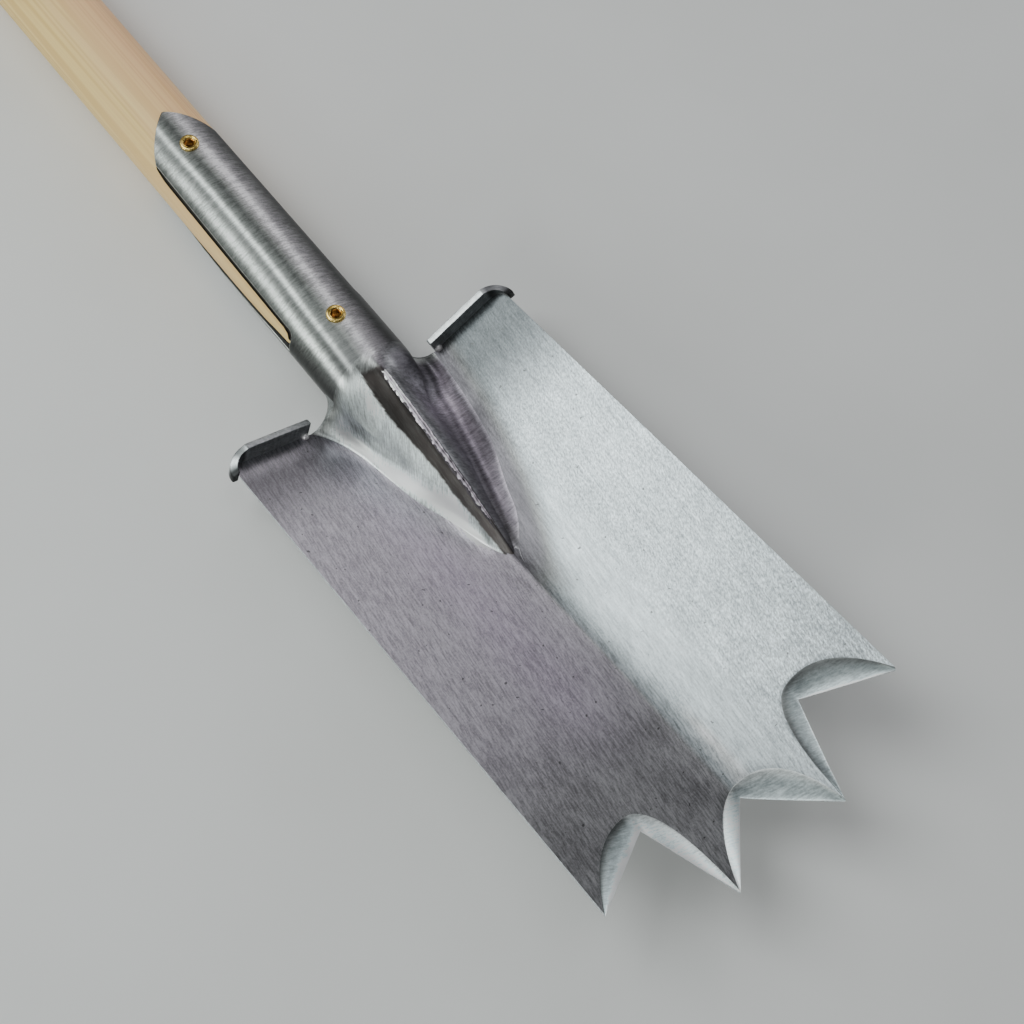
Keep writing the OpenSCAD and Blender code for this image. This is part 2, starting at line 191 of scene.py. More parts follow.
# The shovel laid on its back: the heel of the blade and the T-grip touch the floor
heel = Vector((BLADE_LEN, face_z(0, BLADE_LEN) - SHEET))
grip_mid = Vector((BLADE_LEN + SHAFT_LEN * cos(LIFT), AXIS_Z + SHAFT_LEN * sin(LIFT)))
reach = grip_mid - heel
LIE = atan2(reach.y, reach.x) - asin(GRIP_R / reach.length)


def laid(y, z):
    return (y * cos(LIE) + z * sin(LIE), z * cos(LIE) - y * sin(LIE))


tooth_y = laid(INNER_TIP[1], face_z(*INNER_TIP) - SHEET)[0]
MID_Y = (tooth_y + laid(*grip_mid)[0] + GRIP_R) / 2
HEEL_Z = laid(*heel)[1]


def lay(p):
    y, z = laid(p[1], p[2])
    return Vector((p[0], y - MID_Y, z - HEEL_Z)) * MM


def lay_direction(d):
    y, z = laid(d[1], d[2])
    return Vector((d[0], y, z))


# ---------- Mesh making ----------

WELD = 0.00001
SHARP_ANGLE = radians(38)


def new_object(name, data):
    obj = bpy.data.objects.new(name, data)
    bpy.context.scene.collection.objects.link(obj)
    return obj


def painted(values, rows, uvs):
    """A pair of values for each point. They come as one pair, as rows of pairs or as a function of
    (point, texture place)."""
    if callable(values):
        return [[values(p, uv) for p, uv in zip(row, line)] for row, line in zip(rows, uvs)]
    return values if isinstance(values, list) else [[values] * len(row) for row in rows]


class Build:
    """Collects grids of points. Grids whose borders coincide are welded into one surface."""

    def __init__(self):
        self.points, self.faces, self.kinds = [], [], []
        self.uvs, self.masks, self.tones = [], [], []

    def grid(self, rows, uvs, kind=0, mask=(0.0, 0.0), tone=(1.0, 0.0)):
        """rows is a list of equal lists of points, uvs their texture places in millimetres and kind
        the number of their material. mask holds two values for the material to use, and tone is
        the painted light and shade, as (brightness, purple tint)."""
        start, n = len(self.points), len(rows[0])
        for row in rows:
            self.points += [Vector(p) for p in row]
        layers = ((self.uvs, uvs), (self.masks, painted(mask, rows, uvs)),
                  (self.tones, painted(tone, rows, uvs)))
        for i in range(len(rows) - 1):
            for j in range(n - 1):
                corners = ((i, j), (i, j + 1), (i + 1, j + 1), (i + 1, j))
                self.faces.append([start + a * n + b for a, b in corners])
                self.kinds.append(kind)
                for layer, values in layers:
                    layer.append([values[a][b] for a, b in corners])

    def make(self, name, sharp=SHARP_ANGLE):
        mesh = bpy.data.meshes.new(name)
        mesh.from_pydata([lay(p) for p in self.points], [], self.faces)
        for layer, values in (("UVMap", self.uvs), ("mask", self.masks), ("tone", self.tones)):
            flat = [c * (MM if layer == "UVMap" else 1) for face in values for uv in face for c in uv]
            mesh.uv_layers.new(name=layer).data.foreach_set("uv", flat)
        mesh.polygons.foreach_set("material_index", self.kinds)
        bm = bmesh.new()
        bm.from_mesh(mesh)
        bmesh.ops.remove_doubles(bm, verts=bm.verts, dist=WELD)
        bmesh.ops.dissolve_degenerate(bm, edges=bm.edges, dist=WELD / 2)
        bmesh.ops.recalc_face_normals(bm, faces=bm.faces)
        bm.to_mesh(mesh)
        bm.free()
        mesh.polygons.foreach_set("use_smooth", [True] * len(mesh.polygons))
        mesh.set_sharp_from_angle(angle=sharp)
        return new_object(name, mesh)


def place_piece(obj, replaced, materials):
    for material in materials:
        obj.data.materials.append(material)
    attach(obj, "root")
    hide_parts(*replaced)
    return obj


def mix(a, b, t):
    return tuple(p + (q - p) * t for p, q in zip(a, b))


def spread(start, end, n):
    return [start + (end - start) * i / n for i in range(n + 1)]


def walk(points):
    """The distance walked along a line of points, at each of them."""
    return list(accumulate((dist(a, b) for a, b in zip(points, points[1:])), initial=0.0))


def ripple(x, y, seed):
    """Smooth repeatable noise between about -1 and 1."""
    return noise.noise(Vector((x, y, seed * 7.31)))


# ---------- Blade ----------

BEVEL_ROWS = 12
EDGE_ROUND = 0.45
GRIND_DEPTH = SHEET - CUTTING_EDGE
TIP_GRIND = 0.55

# Inner border of each hand-ground bevel: a curve from above a notch to a tooth. The middle control
# point of each, by side (left, right)
SIDE_BEVEL_TOP = (42.0, 24.8)
CENTRE_BEVEL_TOP = (0.0, 9.3)
OUTER_PULL = {-1: (61.0, 26.5), 1: (62.0, 29.0)}
INNER_PULL = {-1: (28.6, 21.0), 1: (28.4, 22.5)}
CENTRE_PULL = {-1: (16.5, 5.0), 1: (22.0, 12.0)}
TIP_LIFT = 0.9


# Painted highlights and shade of each bevel: brightness at the cutting edge, in its middle and at
# its inner border, by side: centre notch, inner tooth, outer tooth
BEVEL_SHINE = {-1: ((2.1, 2.0, 1.9), (2.0, 1.8, 1.3), (2.6, 1.1, 0.24)),
               1: ((1.0, 0.85, 1.15), (1.2, 0.9, 0.45), (1.5, 0.66, 0.34))}


def bevel_tone(x, r):
    """The painted light and shade of the ground bevel at x, at r from the cutting edge (0) to the
    blade's face (1), with a painted highlight along the cutting edge itself.
    """
    side = -1 if x < 0 else 1
    part = 0 if abs(x) <= INNER_TIP[0] else 1 if abs(x) <= SIDE_NOTCH[0] else 2
    edge, middle, inner = BEVEL_SHINE[side][part]
    wave = 0.12 * ripple(x / 3, r * 2, 21) + 0.10 * ripple(x / 0.9, r, 22)
    shine = middle + (edge - middle) * smooth(1 - r * 2) + (inner - middle) * smooth(r * 2.2 - 1.1)
    return (shine * (1 + wave) + 0.9 * (r < 0.02), -0.7 + 0.7 * smooth(r * 2 - 1))


def near_line(points, y):
    """The value at y of a line given by (y, value) points, y falling."""
    for (y0, v0), (y1, v1) in zip(points, points[1:]):
        if y >= y1:
            return v0 + (v1 - v0) * min(1.0, max(0.0, (y0 - y) / (y0 - y1)))
    return points[-1][1]


# Lines along the keel, as (y, x): the crest of the left cove, its inner groove's start, the pale
# painted highlight stripe in the right one, the left border of the dark band of painted shade
CREST = ((240, -23.8), (230, -22.8), (222, -20.9), (212, -19.3), (200, -16.4), (188, -13.4), (176, -9.8),
         (164, -9.6), (152, -7.4))
STRIPE = ((240, 28.5), (230, 27.3), (222, 24.5), (212, 23), (200, 19.8), (188, 17), (176, 14), (164, 11),
          (150, 7))
BAND = ((240, 7.9), (222, 7.6), (212, 7.7), (200, 6.4), (188, 5.7), (176, 5.4), (164, 4.2), (150, 3.4))

# Brightness of the dark band of painted shade along the keel, as (y, brightness)
BAND_SHINE = ((240, 0.62), (230, 0.52), (222, 0.34), (210, 0.32), (200, 0.48), (176, 0.75), (160, 1.2))

# Where the painted shade over the ground area right of the keel fades into the right flank, as (y, x)
RIGHT_FADE = ((241, 36), (205, 29.5), (186, 25), (168, 19.5), (148, 12), (130, 4), (100, 1), (0, 0))


def crest_highlight(shine, d, y, glow, low_glow):
    """Adds the painted streaky highlight on the pale crest of the cove left of the keel, d away from
    it. It is brighter low down.
    """
    shine += (glow + low_glow * fall(y, 208, 10)) * peak(d, 2.5)
    return shine * (1 + 0.30 * ripple(d / 0.8, y / 45, 51) * peak(d, 6))


def left_flank_tone(x, y):
    """Painted reflection of the violet left flank, even: duller near the teeth and beside the keel,
    pale with painted light under the tread.
    """
    low = fall(y, 80, 48)
    shine = 0.78 - 0.18 * low
    shine *= 1 - 0.55 * rise(y, 195, 34) * (1 - rise(x, -30, 12))
    by_keel = rise(y, 146, 10)
    shine = crest_highlight(shine, x - near_line(CREST, y), y, 1.2 * by_keel, 0.6 * by_keel)
    shine *= 1 + 0.8 * rise(y, 229, 8) * rise(-x, 36, 3)
    return shine, 0.45 + 0.4 * peak(x + 28, 14) * (1 - low) - 0.35 * low


def right_flank_tone(x, y):
    """Painted reflection of the right flank, green-grey and bright: painted shade where the keel's
    shadow and grinding reach and near the top edge, with a pale painted highlight along the lower crease.
    """
    past = x - near_line(RIGHT_FADE, y)
    deep = 0.26 + 0.48 * rise(y, 100, 34) - 0.50 * rise(y, 202, 16)
    shine = 0.90 - 0.10 * rise(y, 60, 60) * (1 - rise(x, 38, 25))
    shine += 0.24 * fall(y, 75, 60) * rise(x, 18, 35)
    shine *= 1 - deep * (1 - rise(past, 2, 13))
    shine *= 1 - 0.72 * rise(y, 178, 46)
    purple = -0.8 + 1.4 * (1 - rise(past, 1, 10)) * rise(y, 110, 30)
    pale = peak(x - 5.5 - 0.04 * (y - 10), 2.2) * fall(y, 52, 22)
    return shine * (1 + 0.28 * pale), purple + 1.1 * pale


def blade_tone(p, uv):
    """The painted light and shade of the two mirror-like flanks, with uneven patches that the
    grinding left.
    """
    x, y = p[0], p[1]
    cloud = 0.05 * ripple(x / 26, y / 40, 23) + 0.03 * ripple(x / 9, y / 15, 24)
    if x >= 0:
        cloud += 0.13 * ripple(x / 2.6, y / 7, 31)
    shine, purple = left_flank_tone(x, y) if x < 0 else right_flank_tone(x, y)
    return (shine * (1 + cloud), purple)


def bend(a, b, c, t):
    return mix(mix(a, b, t), mix(b, c, t), t)


def tooth_columns(side):
    """Columns from the crease to the long edge: the cutting edge's point, the bevel's, its depth."""
    columns = []
    segments = ((CENTRE_NOTCH, INNER_TIP, CENTRE_BEVEL_TOP, CENTRE_PULL[side], False),
                (SIDE_NOTCH, INNER_TIP, SIDE_BEVEL_TOP, INNER_PULL[side], True),
                (SIDE_NOTCH, OUTER_TIP, SIDE_BEVEL_TOP, OUTER_PULL[side], False))
    for notch, tip, border_top, pull, inwards in segments:
        points = []
        for t in spread(0, 1, 16):
            q = 1 - (1 - t) ** 1.5
            border = bend(border_top, pull, (tip[0], tip[1] + TIP_LIFT), q)
            wear = 1 - (1 - TIP_GRIND) * rise(q, 0.55, 0.45)
            points.append((mix(notch, tip, q), border, GRIND_DEPTH * wear))
        if inwards:
            points.reverse()
        columns += points if not columns else points[1:]
    return columns


# The blade's rows are level from here up, and stop this far under the rounded top edge
BLADE_START = 36.0
TOP_MARGIN = 8.0


def column_x(columns, k, y):
    """Across the blade above the teeth the columns are spread more evenly."""
    middle = len(columns) // 2
    edge_x = columns[k][1][0]
    even_x = copysign(TIP_HALF_W * abs(k - middle) / middle, edge_x)
    x = edge_x + (even_x - edge_x) * 0.85 * rise(y, BLADE_START - 14, 60)
    return x * half_w(y) / TIP_HALF_W


def front_z(x, y):
    """The dished face, hammered a little uneven."""
    return face_z(x, y) + 0.05 * ripple(x / 23, y / 31, 1) + 0.025 * ripple(x / 7, y / 9, 2) - 0.05


def back_z(x, y):
    return face_z(x, y) - SHEET


def grit(p, uv):
    """How gritty the blade's grinding is: only at the far right."""
    return (rise(p[0], 14, 26) * (1 - 0.5 * rise(p[1], 185, 30)), 0.0)


def make_blade():
    """The sheet as a front and a back skin, with a rim between them. Each has the bevels' rows first."""
    build = Build()
    columns = [((-e[0], e[1]), (-b[0], b[1]), d) for e, b, d in tooth_columns(-1)][::-1]
    columns += tooth_columns(1)[1:]
    bevel_rs = spread(0, 1, BEVEL_ROWS)
    rims = []
    for height, depth_scale, tone in ((front_z, 1.0, blade_tone), (back_z, 0.0, (1.0, 0.0))):
        bevel_rows = []
        for r in bevel_rs:
            places = [mix(edge, border, r) for edge, border, _ in columns]
            bevel_rows.append([(x, y, height(x, y) - depth_scale * depth * (1 - r ** 1.35))
                               for (x, y), (_, _, depth) in zip(places, columns)])
        rows = []
        for t in spread(0, 1, 8):
            row = [mix(border, (column_x(columns, k, BLADE_START), BLADE_START), t)
                   for k, (_, border, _) in enumerate(columns)]
            rows.append([(x, y, height(x, y)) for x, y in row])
        for y in spread(BLADE_START, BLADE_LEN - TOP_MARGIN, 58)[1:]:
            xs = [column_x(columns, k, y) for k in range(len(columns))]
            rows.append([(x, y, height(x, y)) for x in xs])
        xs = [column_x(columns, k, BLADE_LEN) for k in range(len(columns))]
        rows.append([(x, top_y(abs(x)), height(x, top_y(abs(x)))) for x in xs])
        front = height is front_z
        bevel_tones = [[bevel_tone(edge[0], r) for edge, _, _ in columns] for r in bevel_rs]
        build.grid(bevel_rows, [[p[:2] for p in row] for row in bevel_rows], kind=int(front),
                   tone=bevel_tones if front else tone)
        build.grid(rows, [[p[:2] for p in row] for row in rows], mask=grit, tone=tone)
        rims.append(border_of(bevel_rows[:-1] + rows))
    steps = spread(0, 1, 3)
    rim = [[mix(a, b, t) for a, b in zip(*rims)] for t in steps]
    walked = walk(rims[0])
    # The rim between the skins has a painted highlight
    build.grid(rim, [[(w, t * SHEET) for w in walked] for t in steps], tone=(1.5, -0.5))
    obj = build.make("blade_sheet")
    round_edges(obj, EDGE_ROUND / 2, 2, radians(50))
    return place_piece(obj, ["blade"], [BLADE_STEEL, BEVEL_STEEL])


def border_of(grid):
    """The closed border of a grid of points."""
    return (grid[0] + [row[-1] for row in grid[1:]] + grid[-1][-2::-1]
            + [row[0] for row in grid[-2::-1]])


def round_edges(obj, width, segments, angle):
    """Rounds the sharp edges, then fixes the result in the mesh."""
    bevel = obj.modifiers.new("round", "BEVEL")
    bevel.width = width * MM
    bevel.segments = segments
    bevel.limit_method = "ANGLE"
    bevel.angle_limit = angle
    bevel.use_clamp_overlap = True
    bevel.miter_outer = "MITER_ARC"
    weighted = obj.modifiers.new("normals", "WEIGHTED_NORMAL")
    weighted.keep_sharp = True
    graph = bpy.context.evaluated_depsgraph_get()
    mesh = bpy.data.meshes.new_from_object(obj.evaluated_get(graph))
    obj.modifiers.clear()
    obj.data = mesh


# ---------- Socket and keel ----------

RIM_ROUND = 0.4
FRONT_COLUMNS, SLOT_COLUMNS, BACK_COLUMNS, FILLET_COLUMNS = 64, 6, 36, 24
KEEL_ROWS, TUBE_ROWS = 90, 22
KEEL_END = KEEL_FOOT - 6.0
LOBE_LEN, LOBE_TURN = 11.0, 38.0


def fillet_reach(side, y):
    """How far past the keel its weld fillet was ground out over the blade."""
    if side < 0:
        return 1.0 + 12.5 * exp(-(BLADE_LEN - y) / 12)
    return 5.5 + 8.5 * (1 - down(y)) - 4.5 * rise(down(y), 0.8, 0.25)


def keel_width(y):
    """The keel's half width, drawn out to a point at its foot."""
    return keel_w(y) * (1 - 0.22 * rise(down(y), 0.5, 0.3) - 0.55 * rise(down(y), 0.88, 0.2))


def keel_surface(u, y):
    w, top = keel_width(y), ridge_z(y)
    sunk = 1.1 * fall(y, KEEL_FOOT + 14, 20)
    round_z = top - w / cos(LIFT) * (1 - sqrt(max(0.0, 1 - u * u)))
    roof_z = face_z(w * u, y) + (top - face_z(0, y)) * (1 - soft(u))
    early = fall(y, BLADE_LEN, 12 + (ROOF_RUN - 12) * abs(u))
    return round_z + (roof_z - round_z) * early - sunk


def point_edge(s, gap=0.0):
    """Half of a strap's width at s in its pointed end."""
    left = max(0.0, STRAP_TOP + gap - s)
    return (sqrt(STRAP_SLOPE ** 2 + 4 * STRAP_ROUND * left) - STRAP_SLOPE) / (2 * STRAP_ROUND)


def corner(s, foot):
    """How far the rounded corner at the slot's foot reaches into it."""
    left = SLOT_CORNER - (s - foot)
    return SLOT_CORNER - sqrt(max(0.0, SLOT_CORNER ** 2 - left ** 2)) if left > 0 else 0.0


def front_half(s, gap=0.0):
    """Half of the front strap's width, as an arc, with a gap round it."""
    foot = SLOT_FOOT + gap
    t = min(1.0, max(0.0, (s - SLOT_FOOT) / (SLOT_TOP - SLOT_FOOT)))
    side = SLOT_FRONT[0] + (SLOT_FRONT[1] - SLOT_FRONT[0]) * t
    side_arc = SOCKET_R * acos((side - gap - corner(s, foot)) / SOCKET_R)
    return side_arc if s <= SLOT_TOP else min(side_arc, point_edge(s, gap))


def back_half(s, gap=0.0):
    """Half of the back strap's width, as an arc, with a gap round it."""
    t = min(1.0, max(0.0, (s - SLOT_FLARE[0]) / (SLOT_FLARE[1] - SLOT_FLARE[0])))
    side = SLOT_BACK[0] + (SLOT_BACK[1] - SLOT_BACK[0]) * t
    side_arc = SOCKET_R * acos((side - gap) / SOCKET_R)
    return side_arc if s <= SLOT_TOP else min(side_arc, point_edge(s, gap))


HALF_TURN = pi * SOCKET_R
QUARTER_TURN = HALF_TURN / 2
strap_rows = ([SLOT_FOOT + SLOT_CORNER * t for t in (0, 0.06, 0.16, 0.3, 0.5, 0.75, 1)]
              + spread(SLOT_FOOT + SLOT_CORNER, SLOT_TOP, 40)[1:]
              + [SLOT_TOP + (STRAP_TOP - SLOT_TOP) * t for t in spread(0, 1, 22)[1:-1]]
              + [STRAP_TOP - 0.25, STRAP_TOP])


def strap_grid(half, centre, columns):
    return [[(centre + half(s) * f, s) for f in spread(-1, 1, columns)] for s in strap_rows]


# Painted reflections as bands along the socket, at arcs round it: (arc from the front, half width,
# change of brightness)
TUBE_REFLECTION_BANDS = ((4.0, 2.3, 1.4), (-7.0, 1.2, 0.88), (-14.0, 2.1, 1.8))


def tube_tone(p, uv):
    # Painted light and shade round the tube: a lit strip at the front, painted shade towards both sides, the
    # painted reflection bands, and an even back
    a = (uv[0] + HALF_TURN) % (2 * HALF_TURN) - HALF_TURN
    far = rise(abs(a), 30, 8)
    a += 0.35 * ripple(uv[1] / 30, 0, 25) + 3.7 * max(0.0, 1 - uv[1] / 70)
    shine = 0.30 + 0.55 * rise(a, -2, 3) - 0.72 * rise(a, 7, 11)
    shine *= 1 - 0.6 * rise(-a, 18, 7)
    fade = rise(uv[1], 122, 16)
    for centre, width, change in TUBE_REFLECTION_BANDS:
        shine += change * peak(a - centre, width) * (1 - fade * (0.5 if centre > 0 else 0.25))
    return (max(0.05, shine) * (1 - far) + 0.75 * far, (-0.15 + 0.5 * rise(a, -2, 5)) * (1 - far))


def band_edge(y):
    return near_line(BAND, y) + 0.35 * ripple(y / 6, 0, 17) + 0.25 * ripple(y / 1.3, 0, 18)


def keel_left_tone(x, y):
    """Painted light and shade of the ground facet: its cove with the pale painted highlight on the crest
    and painted shade in the groove, and the dark band of painted shade at the seam.
    """
    band = band_edge(y)
    facet = (1.5 + 0.5 * fall(y, 195, 20)) * (1 - 0.32 * rise(-x, band + 1.5, 5))
    facet *= (1 - 0.35 * fall(y, 170, 8)) * (1 + 0.3 * rise(y, 216, 6))
    d = x - near_line(CREST, y)
    shine = facet + (0.95 - facet) * fall(d, 2.6, 1.6) * fall(d, 0, 5)
    shine = crest_highlight(shine, d, y, 1.45, 1.0)
    # Painted shade in a pocket near the keel's foot, then in the groove beside the crest
    shine *= 1 - 0.7 * peak(x + 4.6, 1.4) * peak(y - 156, 5)
    shine *= 1 - 0.3 * peak(d - 3.4, 0.6) * rise(y, 203, 10) * fall(y, 240, 4)
    in_band = rise(x, -band - 0.4, 0.8)
    return shine + (near_line(BAND_SHINE, y) - shine) * in_band, -0.5 * (1 - in_band)


def keel_right_tone(x, y):
    """Painted light and shade of the violet side: a painted sheen near the top, the pale painted highlight
    stripe in its cove of painted shade, and a top corner in painted shade.
    """
    d = x - near_line(STRIPE, y)
    shine = 0.72 * (1 + 0.7 * peak(y - 217, 9) * rise(x, 3, 3))
    shine *= 1 - 0.55 * peak(d + 2.6, 1.6)
    shine += (0.36 + 1.2 * rise(y, 226, 8)) * peak(d, 0.7) * rise(y, 160, 12)
    shine *= 1 - 0.40 * rise(d, 0.8, 1.6) * rise(y, 174, 14)
    shine *= 1 - 0.22 * rise(d, 3.5, 3) * rise(y, 180, 10)
    shine *= 1 - 0.6 * rise(y, 224, 8) * rise(x, 5, 4) * (1 - rise(x, 19, 3))
    return shine, 0.6 + 0.5 * rise(x, 4, 8)


def keel_tone(p, uv):
    """The keel's painted light and shade, which turns into the tube's at its top."""
    x, y = p[0], p[1]
    cloud = 0.10 * ripple(x / 3, y / 8, 26) + 0.08 * ripple(x / 0.9, y / 4, 27)
    own = keel_left_tone(x, y) if x < 0 else keel_right_tone(x, y)
    above, tint = tube_tone(p, (uv[0], 0.0))
    shine, purple = mix(own, (max(above, 0.25), tint), rise(y, BLADE_LEN - 7, 7))
    return (shine * (1 + cloud), purple)


def seam_shade_band(p, uv):
    """The dark brownish band of painted shade along the left side of the seam."""
    x, y = p[0], p[1]
    across = rise(x, -band_edge(y) - 0.3, 0.6) * (1 - rise(x, 0, 1.2))
    return (across * fall(y, KEEL_TOP + 0.5 - 0.4 * x, 1.5), 0.0)


def socket_tube(build):
    """The slit tube. Returns the border of its opening and the arcs of its lowest ring."""
    front = strap_grid(front_half, 0.0, FRONT_COLUMNS)
    back = strap_grid(back_half, HALF_TURN, BACK_COLUMNS)
    right_foot = [mix(front[0][-1], back[0][0], t) for t in spread(0, 1, SLOT_COLUMNS)]
    left_foot = [(2 * HALF_TURN - a, s) for a, s in reversed(right_foot)]

    # The opening's border, walked with the sheet on its left: round the front strap, then the back one
    loop = [row[-1] for row in front[:-1]] + [(0.0, STRAP_TOP)] + [row[0] for row in front[-2::-1]]
    behind = left_foot[-2:0:-1] + [row[-1] for row in back[:-1]] + [(HALF_TURN, STRAP_TOP)]
    behind += [row[0] for row in back[-2::-1]] + right_foot[-2:0:-1]
    loop += [(a - 2 * HALF_TURN, s) for a, s in behind]
    moved = {turned(here): rim_point(loop, k, RIM_ROUND) for k, here in enumerate(loop)}

    def outer(p):
        return on_axis(*moved.get(turned(p), p), SOCKET_R)

    def shaded_low_end(p, uv):
        """Painted shade over the tube's lower end."""
        return (0.5 * fall(uv[1], 26, 30), 0.0)

    def strap(grid):
        build.grid([[outer(p) for p in row] for row in grid], grid, mask=shaded_low_end, tone=tube_tone)
        build.grid([[on_axis(*p, BORE_R) for p in row] for row in grid], grid, mask=shaded_low_end)

    strap(front)
    strap(back)

    # The tube below the slots, from the blade's top edge upwards
    ring = front[0][:-1] + right_foot[:-1] + back[0][:-1] + left_foot
    side = QUARTER_TURN * 2 / 3
    low = (spread(-side, side, FRONT_COLUMNS)[:-1] + spread(side, QUARTER_TURN, SLOT_COLUMNS)[:-1]
           + spread(QUARTER_TURN, 3 * QUARTER_TURN, BACK_COLUMNS)[:-1]
           + spread(3 * QUARTER_TURN, 4 * QUARTER_TURN - side, SLOT_COLUMNS))
    foot = [SOCKET_R * cos(a / SOCKET_R) * tan(LIFT) for a in low]
    tube = [[(a + (a_top - a) * smooth(q), s * (1 - q) + s_top * q)
             for a, s, (a_top, s_top) in zip(low, foot, ring)] for q in spread(0, 1, TUBE_ROWS)]
    tube[-1] = ring
    strap(tube)
    build.grid([[on_axis(*p, SOCKET_R) for p in tube[0]], [on_axis(*p, BORE_R) for p in tube[0]]],
               [tube[0], [(a, s - SOCKET_T) for a, s in tube[0]]])
    return loop, low


def turned(p):
    """One name for a point, whichever turn round the axis its arc counts."""
    return (round(p[0] % (2 * HALF_TURN), 3) % round(2 * HALF_TURN, 3), round(p[1], 3))


def step(a, b):
    """Direction from one point of the border to the next, the short way round the axis."""
    return Vector(((b[0] - a[0] + HALF_TURN) % (2 * HALF_TURN) - HALF_TURN, b[1] - a[1])).normalized()


def rim_point(loop, k, inset):
    """Point k of the opening's border, moved into the sheet."""
    here = loop[k]
    along = (step(loop[k - 1], here) + step(here, loop[(k + 1) % len(loop)])).normalized()
    return (here[0] - along.y * inset, here[1] + along.x * inset)


def socket_rim(build, loop):
    """The rounded rim of the opening."""
    levels = [(RIM_ROUND, 0.0), (RIM_ROUND * 0.55, RIM_ROUND * 0.1), (RIM_ROUND * 0.1, RIM_ROUND * 0.5),
              (0.0, RIM_ROUND), (0.0, SOCKET_T)]
    closed = list(range(len(loop))) + [0]
    walked = walk(loop + [(loop[0][0] - 2 * HALF_TURN, loop[0][1])])
    rows = [[on_axis(*rim_point(loop, k, inset), SOCKET_R - deep) for k in closed]
            for inset, deep in levels]
    # Below its rounding the rim's wall is painted in deep shadow
    build.grid(rows, [[(w, deep) for w in walked] for _, deep in levels],
               mask=lambda p, uv: (0.0, 0.0 if uv[1] < RIM_ROUND else -1.0))


def fillet(side, y, k):
    """Points of the ground weld on one side, from the keel's border k out to the blade's face."""
    w = keel_width(y)
    v = Vector((side * w, y, face_z(w, y)))
    x_end = w + fillet_reach(side, y)
    f = Vector((side * x_end, y, face_z(x_end, y) - 0.03))
    full = 1 - roof(y)
    pull = 0.46 - 0.12 * full
    p1, p2 = k + (v - k) * pull, f + (v - f) * pull
    groove = 0.3 * rise(y, 212, 10) * fall(y, BLADE_LEN - 2, 5) * (side < 0)
    points = []
    for t in spread(0, 1, FILLET_COLUMNS):
        p = (1 - t) ** 3 * k + 3 * t * (1 - t) ** 2 * p1 + 3 * t * t * (1 - t) * p2 + t ** 3 * f
        wave = 0.10 * ripple(y / 7, t * 3 + side, 13) * sin(pi * t)
        points.append(p + Vector((0, 0, wave - groove * peak(t - 0.42, 0.045))))
    return points


def keel_skin(build, low):
    """The keel and its fillets, from the tube down into the crease. Returns the top row."""
    turns = low[:FRONT_COLUMNS + 1 + SLOT_COLUMNS]
    turns = [-a for a in turns[:FRONT_COLUMNS:-1]] + turns
    us = [sin(a / SOCKET_R) for a in turns]
    rows, uvs = [], []
    for y in [BLADE_LEN - d for d in spread(0, BLADE_LEN - KEEL_END, KEEL_ROWS)]:
        w = keel_width(y)
        side_u = 1 - 0.3 * roof(y)
        row = [Vector((w * u * side_u, y, keel_surface(u * side_u, y))) for u in us]
        row = fillet(-1, y, row[0])[:0:-1] + row + fillet(1, y, row[-1])[1:]
        rows.append(row)
        arcs = walk(row)
        middle = arcs[len(arcs) // 2]
        uvs.append([(a - middle, (y - BLADE_LEN) + 0.35 * abs(a - middle)) for a in arcs])
    build.grid(rows, uvs, kind=1, mask=seam_shade_band, tone=keel_tone)
    return rows[0]


def weld_lobe(build, end, border, tone):
    """One lobe of the weld, which runs up the socket's side past the blade's top edge."""
    lobe, lobe_uv = [], []
    for q in spread(0, 1, 12):
        row = []
        for j, p in enumerate(border):
            t = j / FILLET_COLUMNS
            run = q * (LOBE_LEN * (1 - t) + 0.6)
            arc = end * (QUARTER_TURN + radians(LOBE_TURN * t) * SOCKET_R)
            x, _, z = p.lerp(on_axis(arc, 0.0, SOCKET_R - 0.25), smooth(q))
            row.append((x, BLADE_LEN + run, z + run * tan(LIFT)))
        lobe.append(row)
        lobe_uv.append([(j * 0.8, q * LOBE_LEN) for j in range(len(border))])
    build.grid(lobe, lobe_uv, kind=1, tone=tone)


def make_socket():
    """The slit tube, its rounded rim, and the keel with its weld fillets in one skin."""
    build = Build()
    loop, low = socket_tube(build)
    socket_rim(build, loop)
    top = keel_skin(build, low)
    # Painted light of the two lobes: the left one lighter, the right one in darker, more violet painted shade
    weld_lobe(build, -1, top[FILLET_COLUMNS::-1], (0.62, -0.3))
    weld_lobe(build, 1, top[-FILLET_COLUMNS - 1:], (0.28, 0.5))
    obj = build.make("socket_sheet", radians(55))
    return place_piece(obj, ["socket", "foot_weld_left", "foot_weld_right"],
                       [SOCKET_STEEL, KEEL_STEEL])


